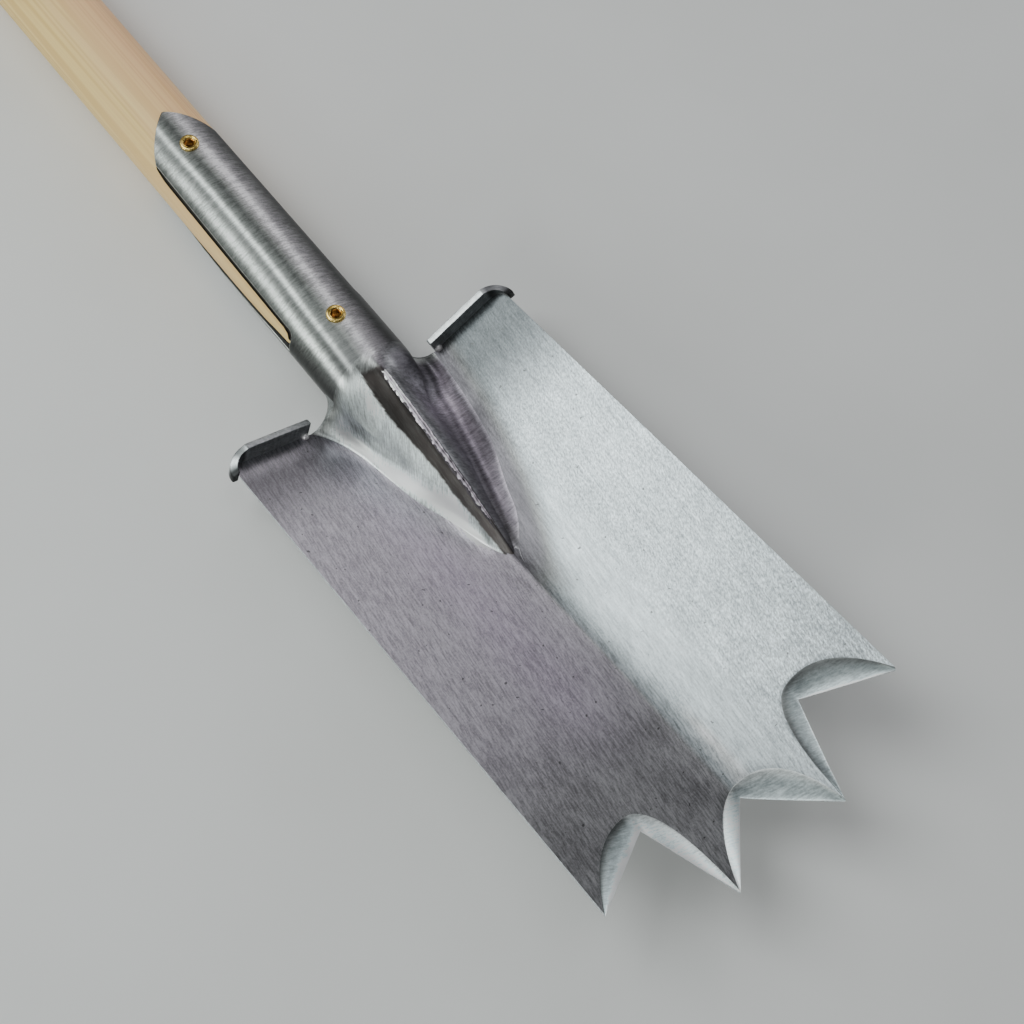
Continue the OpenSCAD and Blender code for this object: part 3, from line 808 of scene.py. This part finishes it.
def make_seam():
    """The bead along the ridge: two ragged lips with a groove between them. c runs across it, -1 to 1."""
    build = Build()
    seam_start, seam_end = KEEL_TOP - 2, KEEL_FOOT + 8
    cs = spread(-1, 1, 26)
    rows, uvs = [], []
    for y in spread(seam_start, seam_end, 460):
        fade = rise(seam_start, y, 5) * rise(y, seam_end, 22)
        wander = 0.28 * ripple(y / 9, 0, 3) + 0.14 * ripple(y / 2.3, 0, 4)
        row = []
        for c in cs:
            lip = 0.62 + 0.1 * ripple(y / 1.7, 1 if c > 0 else 2, 5)
            ragged = 0.5 + 0.5 * ripple(y / 1.1, 5 if c > 0 else 9, 6)
            h = (0.3 + 0.45 * ragged) * peak(abs(c) - lip, 0.17) + 0.16 * (1 - c * c)
            x = c * SEAM_W / 2 * (0.8 + 0.3 * fade) + wander * fade
            sunk = 0.04 + 0.25 * (abs(c) > 0.98)
            row.append((x, y, keel_surface(x / keel_width(y), y) - sunk + h * SEAM_H * fade))
        rows.append(row)
        uvs.append([(c * SEAM_W / 2, y) for c in cs])

    def tone(p, uv):
        """Bright lips with ragged borders as painted highlights, duller with painted shade in the groove,
        and dark with painted shade outside them.
        """
        c, y = uv[0] / (SEAM_W / 2), uv[1]
        thin = fall(y, 215, 45)
        left = -0.85 + 0.45 * thin + 0.5 * ripple(y / 1.3, 3, 31) + 0.35 * ripple(y / 5, 3, 32)
        right = 0.75 - 0.25 * thin + 0.2 * ripple(y / 1.5, 5, 33)
        lips = rise(c, left, 0.12) * rise(right, c, 0.15)
        groove = peak(c - 0.1 - 0.2 * ripple(y / 5, 9, 34), 0.28)
        glow = 0.85 + 0.5 * ripple(y / 2.2, 2, 35) + 0.4 * rise(y, 205, 20)
        return (0.10 + lips * (1.3 * glow - 0.85 * groove), 0.8)

    build.grid(rows, uvs, tone=tone)
    return place_piece(build.make("seam_bead"), ["keel_seam_weld"], [WELD_STEEL])


# ---------- Treads ----------

def on_flank(side, u, v, w):
    """Frame of a flank at its outer top corner: u outwards, v along the blade, w off the face."""
    x = TOP_HALF_W + TREAD_GAP + u * cos(FLANK_TILT) - w * sin(FLANK_TILT)
    return Vector((side * x, BLADE_LEN + v, u * sin(FLANK_TILT) + w * cos(FLANK_TILT)))


TREAD_EDGE = 0.3
TREAD_SPAN = (TOP_HALF_W - TREAD_START) / cos(FLANK_TILT)


def tread_path():
    """(point on the inner face, outward normal) along a tread, from its inner end round the corner."""
    straight = spread(-TREAD_SPAN, -TREAD_FALL, 60) + spread(-TREAD_FALL, -TREAD_BEND, 4)[1:]
    path = [((u, 0.0), (0.0, 1.0)) for u in straight]
    for a in spread(90, 0, 18)[1:]:
        out = (cos(radians(a)), sin(radians(a)))
        path.append(((-TREAD_BEND + TREAD_BEND * out[0], -TREAD_BEND + TREAD_BEND * out[1]), out))
    path.append(((0.0, -TREAD_BEND - TREAD_LEG), (1.0, 0.0)))
    return path


def tread_section(n_corner=4):
    """The strip's section with rounded corners: (through its thickness, up its height)."""
    tall = SHEET + TREAD_PROUD
    r = TREAD_EDGE
    points = []
    corners = ((TREAD_T - r, tall - r, 0), (r, tall - r, 90), (r, r, 180), (TREAD_T - r, r, 270))
    for cx, cy, turn in corners:
        for k in range(n_corner + 1):
            a = radians(turn + 90 * k / n_corner)
            points.append((cx + r * cos(a), cy + r * sin(a)))
    return points + points[:1]


def tread_tone(side):
    """Painted highlight along the front edge, brighter on the right tread; painted shade where the strip
    bends, with a painted highlight midway round the bend.
    """
    bend_start, bend_len = TREAD_SPAN - TREAD_BEND, TREAD_BEND * pi / 2

    def tone(p, uv):
        b = (uv[0] - bend_start) / bend_len
        shine = 1.15 + 0.2 * side + 0.35 * ripple(uv[0] / 1.1, uv[1] / 0.8, 41)
        shine *= 1 - 0.72 * rise(b, -0.25, 0.3)
        shine += (1.3 if side < 0 else 0.35) * peak(b - 0.5, 0.16)
        return (max(0.06, shine * (1 - 0.85 * rise(b, 0.7, 0.2))), -0.2)
    return tone


def make_tread(side, node):
    """The strip, swept along its path, with hammered ends."""
    build = Build()
    section = tread_section()
    path = tread_path()
    rows, uvs = [], []
    lengths = walk([point for point, _ in path])
    around = walk(section)
    tall = SHEET + TREAD_PROUD
    # Near its ends the strip is a little thinner: (distance from the end, share of its thickness)
    ends = [(0.0, 0.72), (0.35, 0.93), (0.9, 1.0)]
    stations = ([(lengths[0] + d, k) for d, k in ends]
                + [(w, 1.0) for w in lengths if 1.2 < w < lengths[-1] - 1.2]
                + [(lengths[-1] - d, k) for d, k in reversed(ends)])
    for w_at, fit in stations:
        k = min(len(path) - 2, max(i for i, w in enumerate(lengths) if w <= w_at + 1e-6))
        t = (w_at - lengths[k]) / (lengths[k + 1] - lengths[k])
        p = mix(path[k][0], path[k + 1][0], t)
        out = Vector(mix(path[k][1], path[k + 1][1], t)).normalized()
        row = []
        for through, up in section:
            th = TREAD_T / 2 + (through - TREAD_T / 2) * fit
            h = tall / 2 + (up - tall / 2) * (1 - (1 - fit) * TREAD_T / tall)
            h -= 0.12 * (1 + ripple(w_at / 9, side, 8)) * (up > tall / 2)
            drop = max(0.0, p[0] + out.x * th + TREAD_FALL) / (TREAD_FALL + TREAD_T)
            h *= (tall - (TREAD_PROUD - TREAD_LOW) * min(1.0, drop)) / tall
            row.append(on_flank(side, p[0] + out.x * th, p[1] + out.y * th, h - SHEET))
        rows.append(row)
        uvs.append([(w_at, a) for a in around])
    build.grid(rows, uvs, tone=tread_tone(side))
    for row, uv in ((rows[0], uvs[0]), (rows[-1], uvs[-1])):
        middle = sum((Vector(p) for p in row[:-1]), Vector()) / (len(row) - 1)
        build.grid([row, [middle] * len(row)], [uv, uv], tone=tread_tone(side))
    return place_piece(build.make(node + "_strip", radians(60)), [node], [TREAD_STEEL])


TREAD_BEAD_R = 1.9


def make_tread_weld(side, node):
    """A small bead with a rippled top where a tread starts."""
    build = Build()
    rows, uvs = [], []
    base_u = 2.0 - TREAD_SPAN
    for lat in spread(0, 90, 10):
        row = []
        for lon in spread(0, 360, 28):
            a, b = radians(lat), radians(lon)
            r = TREAD_BEAD_R * (1 + 0.05 * ripple(lon % 360 / 40, lat / 30, 11))
            u, v = r * cos(a) * cos(b), r * cos(a) * sin(b) * 0.95
            row.append(on_flank(side, base_u + u, v if v < 0 else v * 0.2, 0.12 + r * sin(a)))
        rows.append(row)
        uvs.append([(lon / 30, lat / 20) for lon in spread(0, 360, 28)])
    build.grid(rows, uvs)
    return place_piece(build.make(node + "_bead"), [node], [WELD_STEEL])


# ---------- Rivets ----------

def lathe(build, profile, at, kind=0, n=72, bright=0.0):
    """Turns (radius, height) points; at(x, y, h) places a point of the turned shape. Brass is
    tarnished near the middle, unless bright is added to the radius."""
    angles = spread(0, 2 * pi, n)
    uvs = [[(r * cos(a), r * sin(a)) for a in angles] for r, _ in profile]
    rows = [[at(x, y, h) for x, y in line] for line, (_, h) in zip(uvs, profile)]
    build.grid(rows, uvs, kind, mask=lambda p, uv: (0.0, hypot(*uv) + bright))


def make_rivet(node):
    s = RIVET_S[node]
    build = Build()
    bowl_r, bowl_deep, rim_r, top = 2.7, 0.8, 0.8, RIVET_HEAD_H + 0.15
    profile = [(bowl_r * t, top - 0.12 - bowl_deep * sqrt(1 - t ** 2.6)) for t in spread(0.004, 1, 10)]
    profile += [(RIVET_HEAD_R - rim_r + rim_r * sin(radians(a)),
                 top - rim_r + rim_r * cos(radians(a))) for a in range(-40, 91, 13)]
    profile += [(RIVET_HEAD_R, -0.6), (RIVET_HEAD_R - 0.1, -1.2)]
    for back in (False, True):
        flip = -1 if back else 1
        def at(x, y, h):
            # The head follows the strap's curve a little
            sag = SOCKET_R - sqrt(SOCKET_R ** 2 - x * x)
            return axis_point(x, -flip * (SOCKET_R + h - 0.5 * sag), s + y)
        lathe(build, profile, at)
    return place_piece(build.make(node + "_heads", radians(70)), [node], [BRASS])


# ---------- Wood ----------

# An end that is cut flush with the grip stands this proud of it, and its edge dips this far in
FLUSH = 0.02
EDGE_SUNK = 0.12

# The mask of wood that lies in the shadow under the straps
HIDDEN = (1.0, 0.0)


def wood_tone(p, uv):
    """Painted light: the ash is lighter and pinker on the right, creamier on the left."""
    side = rise(p[0] / SHAFT_R, -0.65, 1.45)
    return (1.0 + 0.20 * side, 1.3 * side)


def make_shaft():
    """The wood with its raised sides between the straps, the neck and the tenon's end."""
    build = Build()
    foot, point = SLOT_FOOT + WOOD_GAP, STRAP_TOP + WOOD_GAP
    saddle = SHAFT_LEN - sqrt(GRIP_R ** 2 - NECK_R ** 2)
    low_rows = [foot + SLOT_CORNER * t for t in (0, 0.06, 0.16, 0.3, 0.5, 0.75, 1)]
    low_rows += spread(foot + SLOT_CORNER, SLOT_TOP, 34)[1:]
    low_rows += spread(SLOT_TOP, point, 24)[1:]
    high_rows = spread(point, SHAFT_LEN - NECK_LEN - 12, 90)[1:]
    high_rows += spread(SHAFT_LEN - NECK_LEN - 12, saddle + 4, 40)[1:]

    def radius(s):
        taper = min(1.0, max(0.0, (s - SHAFT_LEN + NECK_LEN) / (saddle - SHAFT_LEN + NECK_LEN)))
        return SHAFT_R + (NECK_R - SHAFT_R) * (0.5 * taper + 0.5 * smooth(taper)) - 0.02

    def wall(points, places, shift):
        """The side of the raised wood, down to below the straps, painted in shadow."""
        deep = [on_axis(*uv, BORE_R - 1.5) for uv in places]
        build.grid([points, deep], [places, [(a + shift[0], s + shift[1]) for a, s in places]], mask=HIDDEN)

    for side in (1, -1):
        rows, uvs = [], []
        for s in low_rows + high_rows:
            side_gap = WOOD_GAP + 1.9 * fall(s, SLOT_TOP + 8, 16)
            start = front_half(s, side_gap) if s < point else 0.0
            foot_gap = WOOD_GAP + 2.4 * fall(s, foot + 20, 20) + 0.5 * corner(s, foot)
            end = HALF_TURN - (back_half(s, foot_gap) if s < point else 0.0)
            arcs = spread(start, end, 40)
            rows.append([on_axis(side * a, s, radius(s)) for a in arcs])
            uvs.append([(side * a, s) for a in arcs])
        build.grid(rows, uvs, tone=wood_tone)
        for column in (0, -1):
            points, places = ([line[column] for line in lines[:len(low_rows)]] for lines in (rows, uvs))
            wall(points, places, (1, 0))
        wall(rows[0], uvs[0], (0, 1))
    core = [3.0, 20.0, 60.0, 100.0, STRAP_TOP + 3]
    uvs = [[(a, s) for a in spread(-HALF_TURN, HALF_TURN, 64)] for s in core]
    build.grid([[on_axis(*uv, BORE_R - 0.05) for uv in line] for line in uvs], uvs, mask=HIDDEN)

    # The tenon's end in the top of the T-grip
    def crown(x, y, h):
        return axis_point(x, y, SHAFT_LEN + sqrt(GRIP_R ** 2 - y * y) + h)
    lathe(build, [(0.01, FLUSH)] + [(TENON_R * t, FLUSH) for t in spread(0.06, 0.98, 16)]
          + [(TENON_R, -EDGE_SUNK)], crown, kind=1)
    return place_piece(build.make("shaft_wood", radians(50)), ["shaft"], [ASH, END_GRAIN])


def make_grip():
    build = Build()
    half, flat_end = GRIP_LEN / 2, GRIP_LEN / 2 - GRIP_ROUND

    def rounding(a):
        return (GRIP_R - GRIP_ROUND + GRIP_ROUND * sin(radians(a)),
                flat_end + GRIP_ROUND * cos(radians(a)))
    cap = [(0.01, half)] + [((GRIP_R - GRIP_ROUND) * t, half) for t in (0.35, 0.7)]
    cap += [rounding(a) for a in range(0, 37, 9)]
    for end in (-1, 1):
        lathe(build, cap, lambda x, y, h: axis_point(end * h, x, SHAFT_LEN + y), kind=1, n=84)
    profile = [rounding(a) for a in range(36, 91, 9)]
    bar = [(GRIP_R, x) for x in spread(flat_end, -flat_end, 44)[1:-1]]
    profile = profile + bar + [(r, -h) for r, h in reversed(profile)]
    angles = spread(0, 2 * pi, 84)
    build.grid([[axis_point(x, r * cos(a), SHAFT_LEN + r * sin(a)) for a in angles] for r, x in profile],
               [[(a * GRIP_R, w) for a in angles] for w in walk(profile)])
    obj = build.make("grip_bar_wood", radians(60))
    return place_piece(obj, ["t_grip"], [ASH_GRIP, END_GRAIN])


def make_wedge():
    build = Build()
    length = TENON_R - 0.3
    uvs = [[(b, WEDGE_T / 2 * t) for b in spread(-length, length, 24)] for t in spread(-1, 1, 8)]

    def top(b, x):
        return SHAFT_LEN + sqrt(GRIP_R ** 2 - b * b) + (0.06 if abs(x) < 0.95 * WEDGE_T / 2 else -0.2)
    build.grid([[axis_point(x, b, top(b, x)) for b, x in line] for line in uvs], uvs)
    return place_piece(build.make("wedge_end"), ["grip_wedge"], [WEDGE_WOOD])


def make_pin():
    build = Build()
    profile = [(0.01, FLUSH)] + [(PIN_R * t, FLUSH) for t in spread(0.2, 0.94, 5)] + [(PIN_R, -EDGE_SUNK)]
    for flip in (-1, 1):
        def flush(x, y, h):
            return axis_point(x, flip * (sqrt(GRIP_R ** 2 - y * y) + h), SHAFT_LEN + y)
        lathe(build, profile, flush, n=40, bright=3.0)
    return place_piece(build.make("pin_ends"), ["grip_pin"], [BRASS])


# ---------- Materials ----------

class Shade:
    """A short way to build one node-based material. Every pattern runs along the piece's own
    texture places, which are in metres over its surface."""

    def __init__(self, name):
        self.material = bpy.data.materials.new(name)
        self.material.use_nodes = True
        self.nodes = self.material.node_tree.nodes
        self.links = self.material.node_tree.links
        self.nodes.clear()
        self.bsdf = self.add("ShaderNodeBsdfPrincipled")
        self.add("ShaderNodeOutputMaterial", {"Surface": self.bsdf.outputs[0]})

    def add(self, kind, inputs=(), **settings):
        """A node with its settings. Each input is joined to an output or gets a constant."""
        node = self.nodes.new(kind)
        for key, value in settings.items():
            setattr(node, key, value)
        for name, value in dict(inputs).items():
            self.feed(node, name, value)
        return node

    def feed(self, node, name, value):
        if hasattr(value, "is_output"):
            self.links.new(value, node.inputs[name])
        else:
            node.inputs[name].default_value = value

    def pattern(self, per_mm, detail=3.0, rough=0.5, seed=0.0, turn=0.0, warp=0.0):
        """Noise with so many waves a millimetre (across, along) the surface."""
        place = self.add("ShaderNodeUVMap", uv_map="UVMap")
        turned = self.add("ShaderNodeMapping", {
            "Vector": place.outputs[0], "Rotation": (0, 0, radians(turn)),
            "Location": (seed * 1.37, seed * 2.11, seed)})
        scaled = self.add("ShaderNodeMapping", {
            "Vector": turned.outputs[0], "Scale": (per_mm[0] / MM, per_mm[1] / MM, 1)})
        return self.add("ShaderNodeTexNoise", {
            "Vector": scaled.outputs[0], "Scale": 1.0, "Detail": detail, "Roughness": rough,
            "Distortion": warp}).outputs["Fac"]

    def ramp(self, value, low, high, to_low=0.0, to_high=1.0):
        return self.add("ShaderNodeMapRange", {
            "Value": value, "From Min": low, "From Max": high, "To Min": to_low, "To Max": to_high},
            interpolation_type="SMOOTHSTEP").outputs[0]

    def math(self, operation, a, b=0.0):
        return self.add("ShaderNodeMath", {0: a, 1: b}, operation=operation).outputs[0]

    def vector(self, operation, a, b, socket=1):
        return self.add("ShaderNodeVectorMath", {0: a, socket: b}, operation=operation).outputs[0]

    def total(self, *parts):
        """The sum of (value, weight) parts."""
        value, weight = parts[0]
        scaled = self.math("MULTIPLY", value, weight)
        return self.math("ADD", scaled, self.total(*parts[1:])) if parts[1:] else scaled

    def blend(self, factor, a, b, mode="MIX"):
        node = self.add("ShaderNodeMix", {0: factor}, data_type="RGBA", blend_type=mode)
        for name, value in ((6, a), (7, b)):
            self.feed(node, name, (*value, 1.0) if isinstance(value, tuple) else value)
        return node.outputs[2]

    def tinted(self, color):
        """The colour, with the piece's painted light and shade: its brightness and purple tint."""
        bright, purple = self.mask("tone")
        scaled = self.vector("SCALE", color, bright, "Scale")
        gains = [self.math("MULTIPLY", amount, gain) for amount, gain in
                 ((purple, 0.05), (purple, -0.05), (self.math("ABSOLUTE", purple), 0.09))]
        factors = self.add("ShaderNodeCombineXYZ", {i: self.math("ADD", 1.0, g) for i, g in enumerate(gains)})
        return self.vector("MINIMUM", self.vector("MULTIPLY", scaled, factors.outputs[0]), (0.97, 0.97, 0.97))

    def mask(self, layer="mask"):
        """Two painted values of the piece, as (first, second)."""
        place = self.add("ShaderNodeUVMap", uv_map=layer)
        return self.add("ShaderNodeSeparateXYZ", {0: place.outputs[0]}).outputs[:2]

    def bump(self, height, depth_mm):
        return self.add("ShaderNodeBump", {
            "Strength": 1.0, "Distance": depth_mm * MM, "Height": height}).outputs[0]

    def done(self, color, rough, normal=None, **sockets):
        """Fills the shader's sockets; an underscore in a name stands for a space."""
        if normal is not None:
            sockets["Normal"] = normal
        for name, value in {"Base Color": color, "Roughness": rough, **sockets}.items():
            self.feed(self.bsdf, name.replace("_", " "), value)
        return self.material


def steel(name, dark, light, rough, lines=(1.6, 0.25), turn=0.0, depth=0.02, seed=1.0, pits=0.0,
          tint=None, patch=0.25, stretch=0.3, across=False, metal=1.0, grit=0.0):
    """Brushed stainless: fine short ground lines, a few longer ones, cloudy patches and dark pits.
    Where there is a tint, the first mask is how far painted shade takes the steel towards it and a
    negative second one is painted deep shadow. Where there is grit, the first mask is how gritty it is."""
    s = Shade(name)
    fine = s.pattern(lines, 2.0, 0.6, seed, turn)
    crossed = s.pattern((lines[0] * 0.8, lines[1] * 1.3), 2.0, 0.6, seed + 3, turn + 14.0)
    longer = s.pattern((lines[0] * 0.5, lines[1] * 0.35), 3.0, 0.6, seed + 5, turn)
    cloud = s.pattern((0.035, 0.03), 4.0, 0.62, seed + 8)
    speck = s.pattern((1.1, 1.1), 2.0, 0.7, seed + 13)
    grain = s.total((fine, 0.4), (crossed, 0.3), (speck, 0.3))
    shine = s.total((grain, 0.8 - patch), (longer, 0.2), (cloud, patch))
    color = s.blend(s.ramp(shine, 0.39, 0.61), dark, light)
    if tint:
        first, second = s.mask()
        uneven = s.ramp(s.pattern((0.5, 0.08), 4.0, 0.7, seed + 11), 0.25, 0.6, 0.86)
        painted_shade = s.math("MULTIPLY", first, uneven)
        color = s.blend(painted_shade, color, tint)
        color = s.blend(s.ramp(second, -1.0, -0.2, 0.95, 0.0), color, (0.012, 0.012, 0.012))
    if grit:
        sparkle = s.pattern((1.7, 0.6), 3.0, 0.65, seed + 31, turn + 20)
        sparkle = s.ramp(sparkle, 0.38, 0.62, 1 - grit, 1 + grit)
        color = s.blend(s.mask()[0], color, sparkle, "MULTIPLY")
    color = s.tinted(color)
    if pits:
        dots = s.pattern((0.4, 0.4), 1.0, 0.6, seed + 21)
        color = s.blend(s.ramp(dots, 0.76 - pits, 0.79 - pits, 0.0, 0.8), color, (0.08, 0.08, 0.08))
    roughness = s.ramp(s.total((grain, 0.6), (cloud, 0.4)), 0.35, 0.65, *rough)
    tangent = s.add("ShaderNodeTangent", direction_type="UV_MAP", uv_map="UVMap")
    return s.done(color, roughness, s.bump(grain, depth), Metallic=metal, Anisotropic=stretch,
                  Anisotropic_Rotation=0.25 if across else 0.0, Tangent=tangent.outputs[0])


BLADE_STEEL = steel("blade_steel_brushed", (0.30, 0.305, 0.31), (0.66, 0.67, 0.68), (0.30, 0.44),
                    lines=(1.5, 0.15), turn=6.0, seed=1.0, pits=0.03, patch=0.14, stretch=0.45, grit=0.3)
BEVEL_STEEL = steel("blade_steel_ground", (0.36, 0.385, 0.385), (0.66, 0.69, 0.69), (0.36, 0.52),
                    turn=-75.0, depth=0.03, seed=4.0, patch=0.2, stretch=0.1)
# The socket's and the keel's tints are the colours of their painted shade
SOCKET_STEEL = steel("socket_steel_brushed", (0.24, 0.25, 0.24), (0.62, 0.635, 0.61), (0.42, 0.56),
                     lines=(0.22, 1.3), turn=3.0, depth=0.025, seed=7.0, tint=(0.24, 0.23, 0.25), patch=0.2,
                     stretch=0.3, across=True)
KEEL_STEEL = steel("keel_steel_brushed", (0.28, 0.285, 0.28), (0.64, 0.655, 0.645), (0.38, 0.52),
                   lines=(0.22, 1.3), turn=-25.0, depth=0.025, seed=9.0, tint=(0.10, 0.088, 0.086), patch=0.2,
                   stretch=0.3, across=True)
TREAD_STEEL = steel("tread_steel_satin", (0.26, 0.27, 0.275), (0.60, 0.61, 0.61), (0.34, 0.5),
                    lines=(0.5, 0.9), turn=6.0, depth=0.03, seed=12.0, patch=0.35, stretch=0.1)
WELD_STEEL = steel("weld_steel_raw", (0.66, 0.64, 0.65), (0.97, 0.93, 0.95), (0.26, 0.42),
                   lines=(0.6, 0.9), depth=0.04, seed=15.0, patch=0.3, stretch=0.0, metal=0.6)


def brass():
    """Polished on the rim, tarnished to amber in the bowl of the head."""
    s = Shade("brass_polished")
    swirl = s.pattern((0.45, 0.45), 2.0, 0.5, 2.0, warp=0.4)
    scratch = s.pattern((1.6, 0.25), 2.0, 0.5, 3.0, turn=35)
    wear = s.total((swirl, 0.6), (scratch, 0.4))
    metal = s.blend(s.ramp(wear, 0.4, 0.6), (0.60, 0.40, 0.09), (0.86, 0.64, 0.22))
    tarnish = s.blend(s.ramp(wear, 0.42, 0.58), (0.10, 0.03, 0.006), (0.34, 0.15, 0.03))
    color = s.blend(s.ramp(s.mask()[1], 2.0, 2.75, 1.0, 0.0), metal, tarnish)
    return s.done(color, s.ramp(wear, 0.3, 0.7, 0.18, 0.30), s.bump(wear, 0.003), Metallic=1.0)


BRASS = brass()


def ash(name, seed):
    """Sanded ash: long straight grain, early and late wood, fine pores and a few specks."""
    s = Shade(name)
    rings = s.pattern((0.11, 0.0016), 2.0, 0.4, seed, warp=0.4)
    late = s.ramp(s.math("PINGPONG", s.math("MULTIPLY", rings, 9.0), 0.5), 0.08, 0.42)
    fibre = s.pattern((1.3, 0.012), 5.0, 0.65, seed + 2)
    pores = s.pattern((2.4, 0.10), 2.0, 0.6, seed + 4)
    cloud = s.pattern((0.02, 0.006), 3.0, 0.5, seed + 6)
    specks = s.pattern((0.22, 0.15), 2.0, 0.7, seed + 9)
    base = s.blend(late, (0.80, 0.60, 0.235), (0.67, 0.46, 0.165))
    for mark, low, high, strength, color in ((fibre, 0.35, 0.7, 0.6, (0.72, 0.48, 0.22)),
                                             (cloud, 0.4, 0.65, 0.5, (0.80, 0.53, 0.28)),
                                             (pores, 0.62, 0.78, 0.35, (0.46, 0.33, 0.22)),
                                             (specks, 0.80, 0.84, 0.8, (0.22, 0.15, 0.10))):
        base = s.blend(s.ramp(mark, low, high, 0.0, strength), base, color)
    # Wood marked by the first mask is painted in shadow, then the piece's painted light is laid on
    base = s.tinted(s.blend(s.mask()[0], base, (0.018, 0.014, 0.011)))
    relief = s.total((fibre, 0.7), (pores, -0.3))
    return s.done(base, s.ramp(fibre, 0.3, 0.7, 0.42, 0.62), s.bump(relief, 0.05), Specular_IOR_Level=0.35)


ASH = ash("ash_sanded", 3.0)
ASH_GRIP = ash("ash_grip", 8.0)


def end_grain(name, pale, dark, scale):
    s = Shade(name)
    rings = s.pattern((scale, scale * 0.25), 3.0, 0.5, 5.0, turn=20, warp=0.3)
    bands = s.ramp(s.math("PINGPONG", s.math("MULTIPLY", rings, 7.0), 0.5), 0.1, 0.4)
    pores = s.pattern((2.2, 2.2), 2.0, 0.6, 6.0)
    color = s.blend(bands, pale, dark)
    color = s.blend(s.ramp(pores, 0.58, 0.7, 0.0, 0.6), color, tuple(c * 0.45 for c in dark))
    return s.done(color, s.ramp(pores, 0.3, 0.7, 0.5, 0.7), s.bump(pores, 0.04), Specular_IOR_Level=0.3)


END_GRAIN = end_grain("ash_end_grain", (0.70, 0.495, 0.22), (0.60, 0.42, 0.175), 0.35)
WEDGE_WOOD = end_grain("wedge_hardwood", (0.30, 0.17, 0.10), (0.20, 0.11, 0.065), 0.5)


def floor_material():
    s = Shade("pale_floor")
    cloud = s.pattern((0.004, 0.004), 4.0, 0.55, 2.0)
    color = s.blend(s.ramp(cloud, 0.35, 0.65), (0.73, 0.73, 0.72), (0.77, 0.77, 0.765))
    return s.done(color, 0.75, Specular_IOR_Level=0.2)


# ---------- Everything made and placed ----------

make_blade()
make_socket()
make_seam()
for side, end in ((-1, "left"), (1, "right")):
    make_tread(side, "tread_" + end)
    make_tread_weld(side, "tread_weld_" + end)
for node in RIVET_S:
    make_rivet(node)
make_shaft()
make_grip()
make_wedge()
make_pin()
heel_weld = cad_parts["heel_weld"]
heel_weld.data.materials.clear()
heel_weld.data.materials.append(WELD_STEEL)

# ---------- Floor, light and camera ----------

FLOOR_HALF = 6.0
floor_mesh = bpy.data.meshes.new("floor")
spots = [(x * FLOOR_HALF, y * FLOOR_HALF, 0.0) for x, y in ((-1, -1), (1, -1), (-1, 1), (1, 1))]
floor_mesh.from_pydata(spots, [], [(0, 1, 3, 2)])
places = floor_mesh.uv_layers.new(name="UVMap").data
for corner_loop in floor_mesh.loops:
    places[corner_loop.index].uv = spots[corner_loop.vertex_index][:2]
floor_mesh.materials.append(floor_material())
floor = new_object("floor", floor_mesh)

TARGET = lay((0.0, 150.0, 0.0))


def softbox(name, towards, distance, size, power, color):
    """A square light that faces the blade from a direction in the blade's frame."""
    data = bpy.data.lights.new(name, "AREA")
    data.shape = "RECTANGLE"
    data.size, data.size_y = size
    data.energy = power
    data.color = color
    light = new_object(name, data)
    direction = lay_direction(towards).normalized()
    light.location = TARGET + direction * distance
    light.rotation_euler = direction.to_track_quat("Z", "Y").to_euler()


softbox("softbox_main", (-0.38, 0.40, 0.84), 1.5, (0.75, 0.95), 14.0, (0.95, 1.0, 0.985))
softbox("softbox_left", (-0.94, 0.22, 0.26), 1.5, (0.55, 0.42), 6.0, (0.93, 1.0, 0.95))
softbox("softbox_right", (0.82, 0.34, 0.45), 1.7, (0.45, 0.6), 1.1, (0.97, 0.92, 1.0))
softbox("softbox_strip", (0.54, 0.45, 0.71), 1.5, (0.20, 0.9), 1.6, (1.0, 0.96, 1.0))
softbox("softbox_front_left", (-0.75, -0.50, 0.42), 1.8, (0.6, 0.45), 5.0, (0.95, 1.0, 0.96))
softbox("softbox_low_right", (0.93, -0.30, 0.16), 1.6, (0.8, 0.35), 4.0, (0.94, 1.0, 1.0))
softbox("softbox_top", (0.10, -0.15, 0.97), 1.6, (0.5, 0.5), 2.0, (0.97, 1.0, 1.0))

world = bpy.data.worlds.new("studio")
bpy.context.scene.world = world
world.use_nodes = True
sky = world.node_tree.nodes["Background"]
sky.inputs["Color"].default_value = (0.92, 0.94, 0.96, 1.0)
sky.inputs["Strength"].default_value = 0.16

CAMERA_AT = (-196.11, -85.16, 560.93)
AZIMUTH, ELEVATION, ROLL = (radians(a) for a in (-40.44, 61.18, 0.93))
LENS = 54.46
camera_data = bpy.data.cameras.new("camera")
camera_data.sensor_width = 36.0
camera_data.lens = LENS
camera_data.clip_start = 0.01
camera = new_object("camera", camera_data)
back = Vector((sin(AZIMUTH) * cos(ELEVATION), -cos(AZIMUTH) * cos(ELEVATION),
               sin(ELEVATION)))
right = Vector((cos(AZIMUTH), sin(AZIMUTH), 0.0))
up = back.cross(right)
side_way = right * cos(ROLL) + up * sin(ROLL)
up_way = up * cos(ROLL) - right * sin(ROLL)
axes = [lay_direction(d) for d in (side_way, up_way, back)]
turn = Matrix([[axes[c][r] for c in range(3)] for r in range(3)])
camera.matrix_world = Matrix.Translation(lay(CAMERA_AT)) @ turn.to_4x4()
bpy.context.scene.camera = camera

bpy.context.view_layer.update()
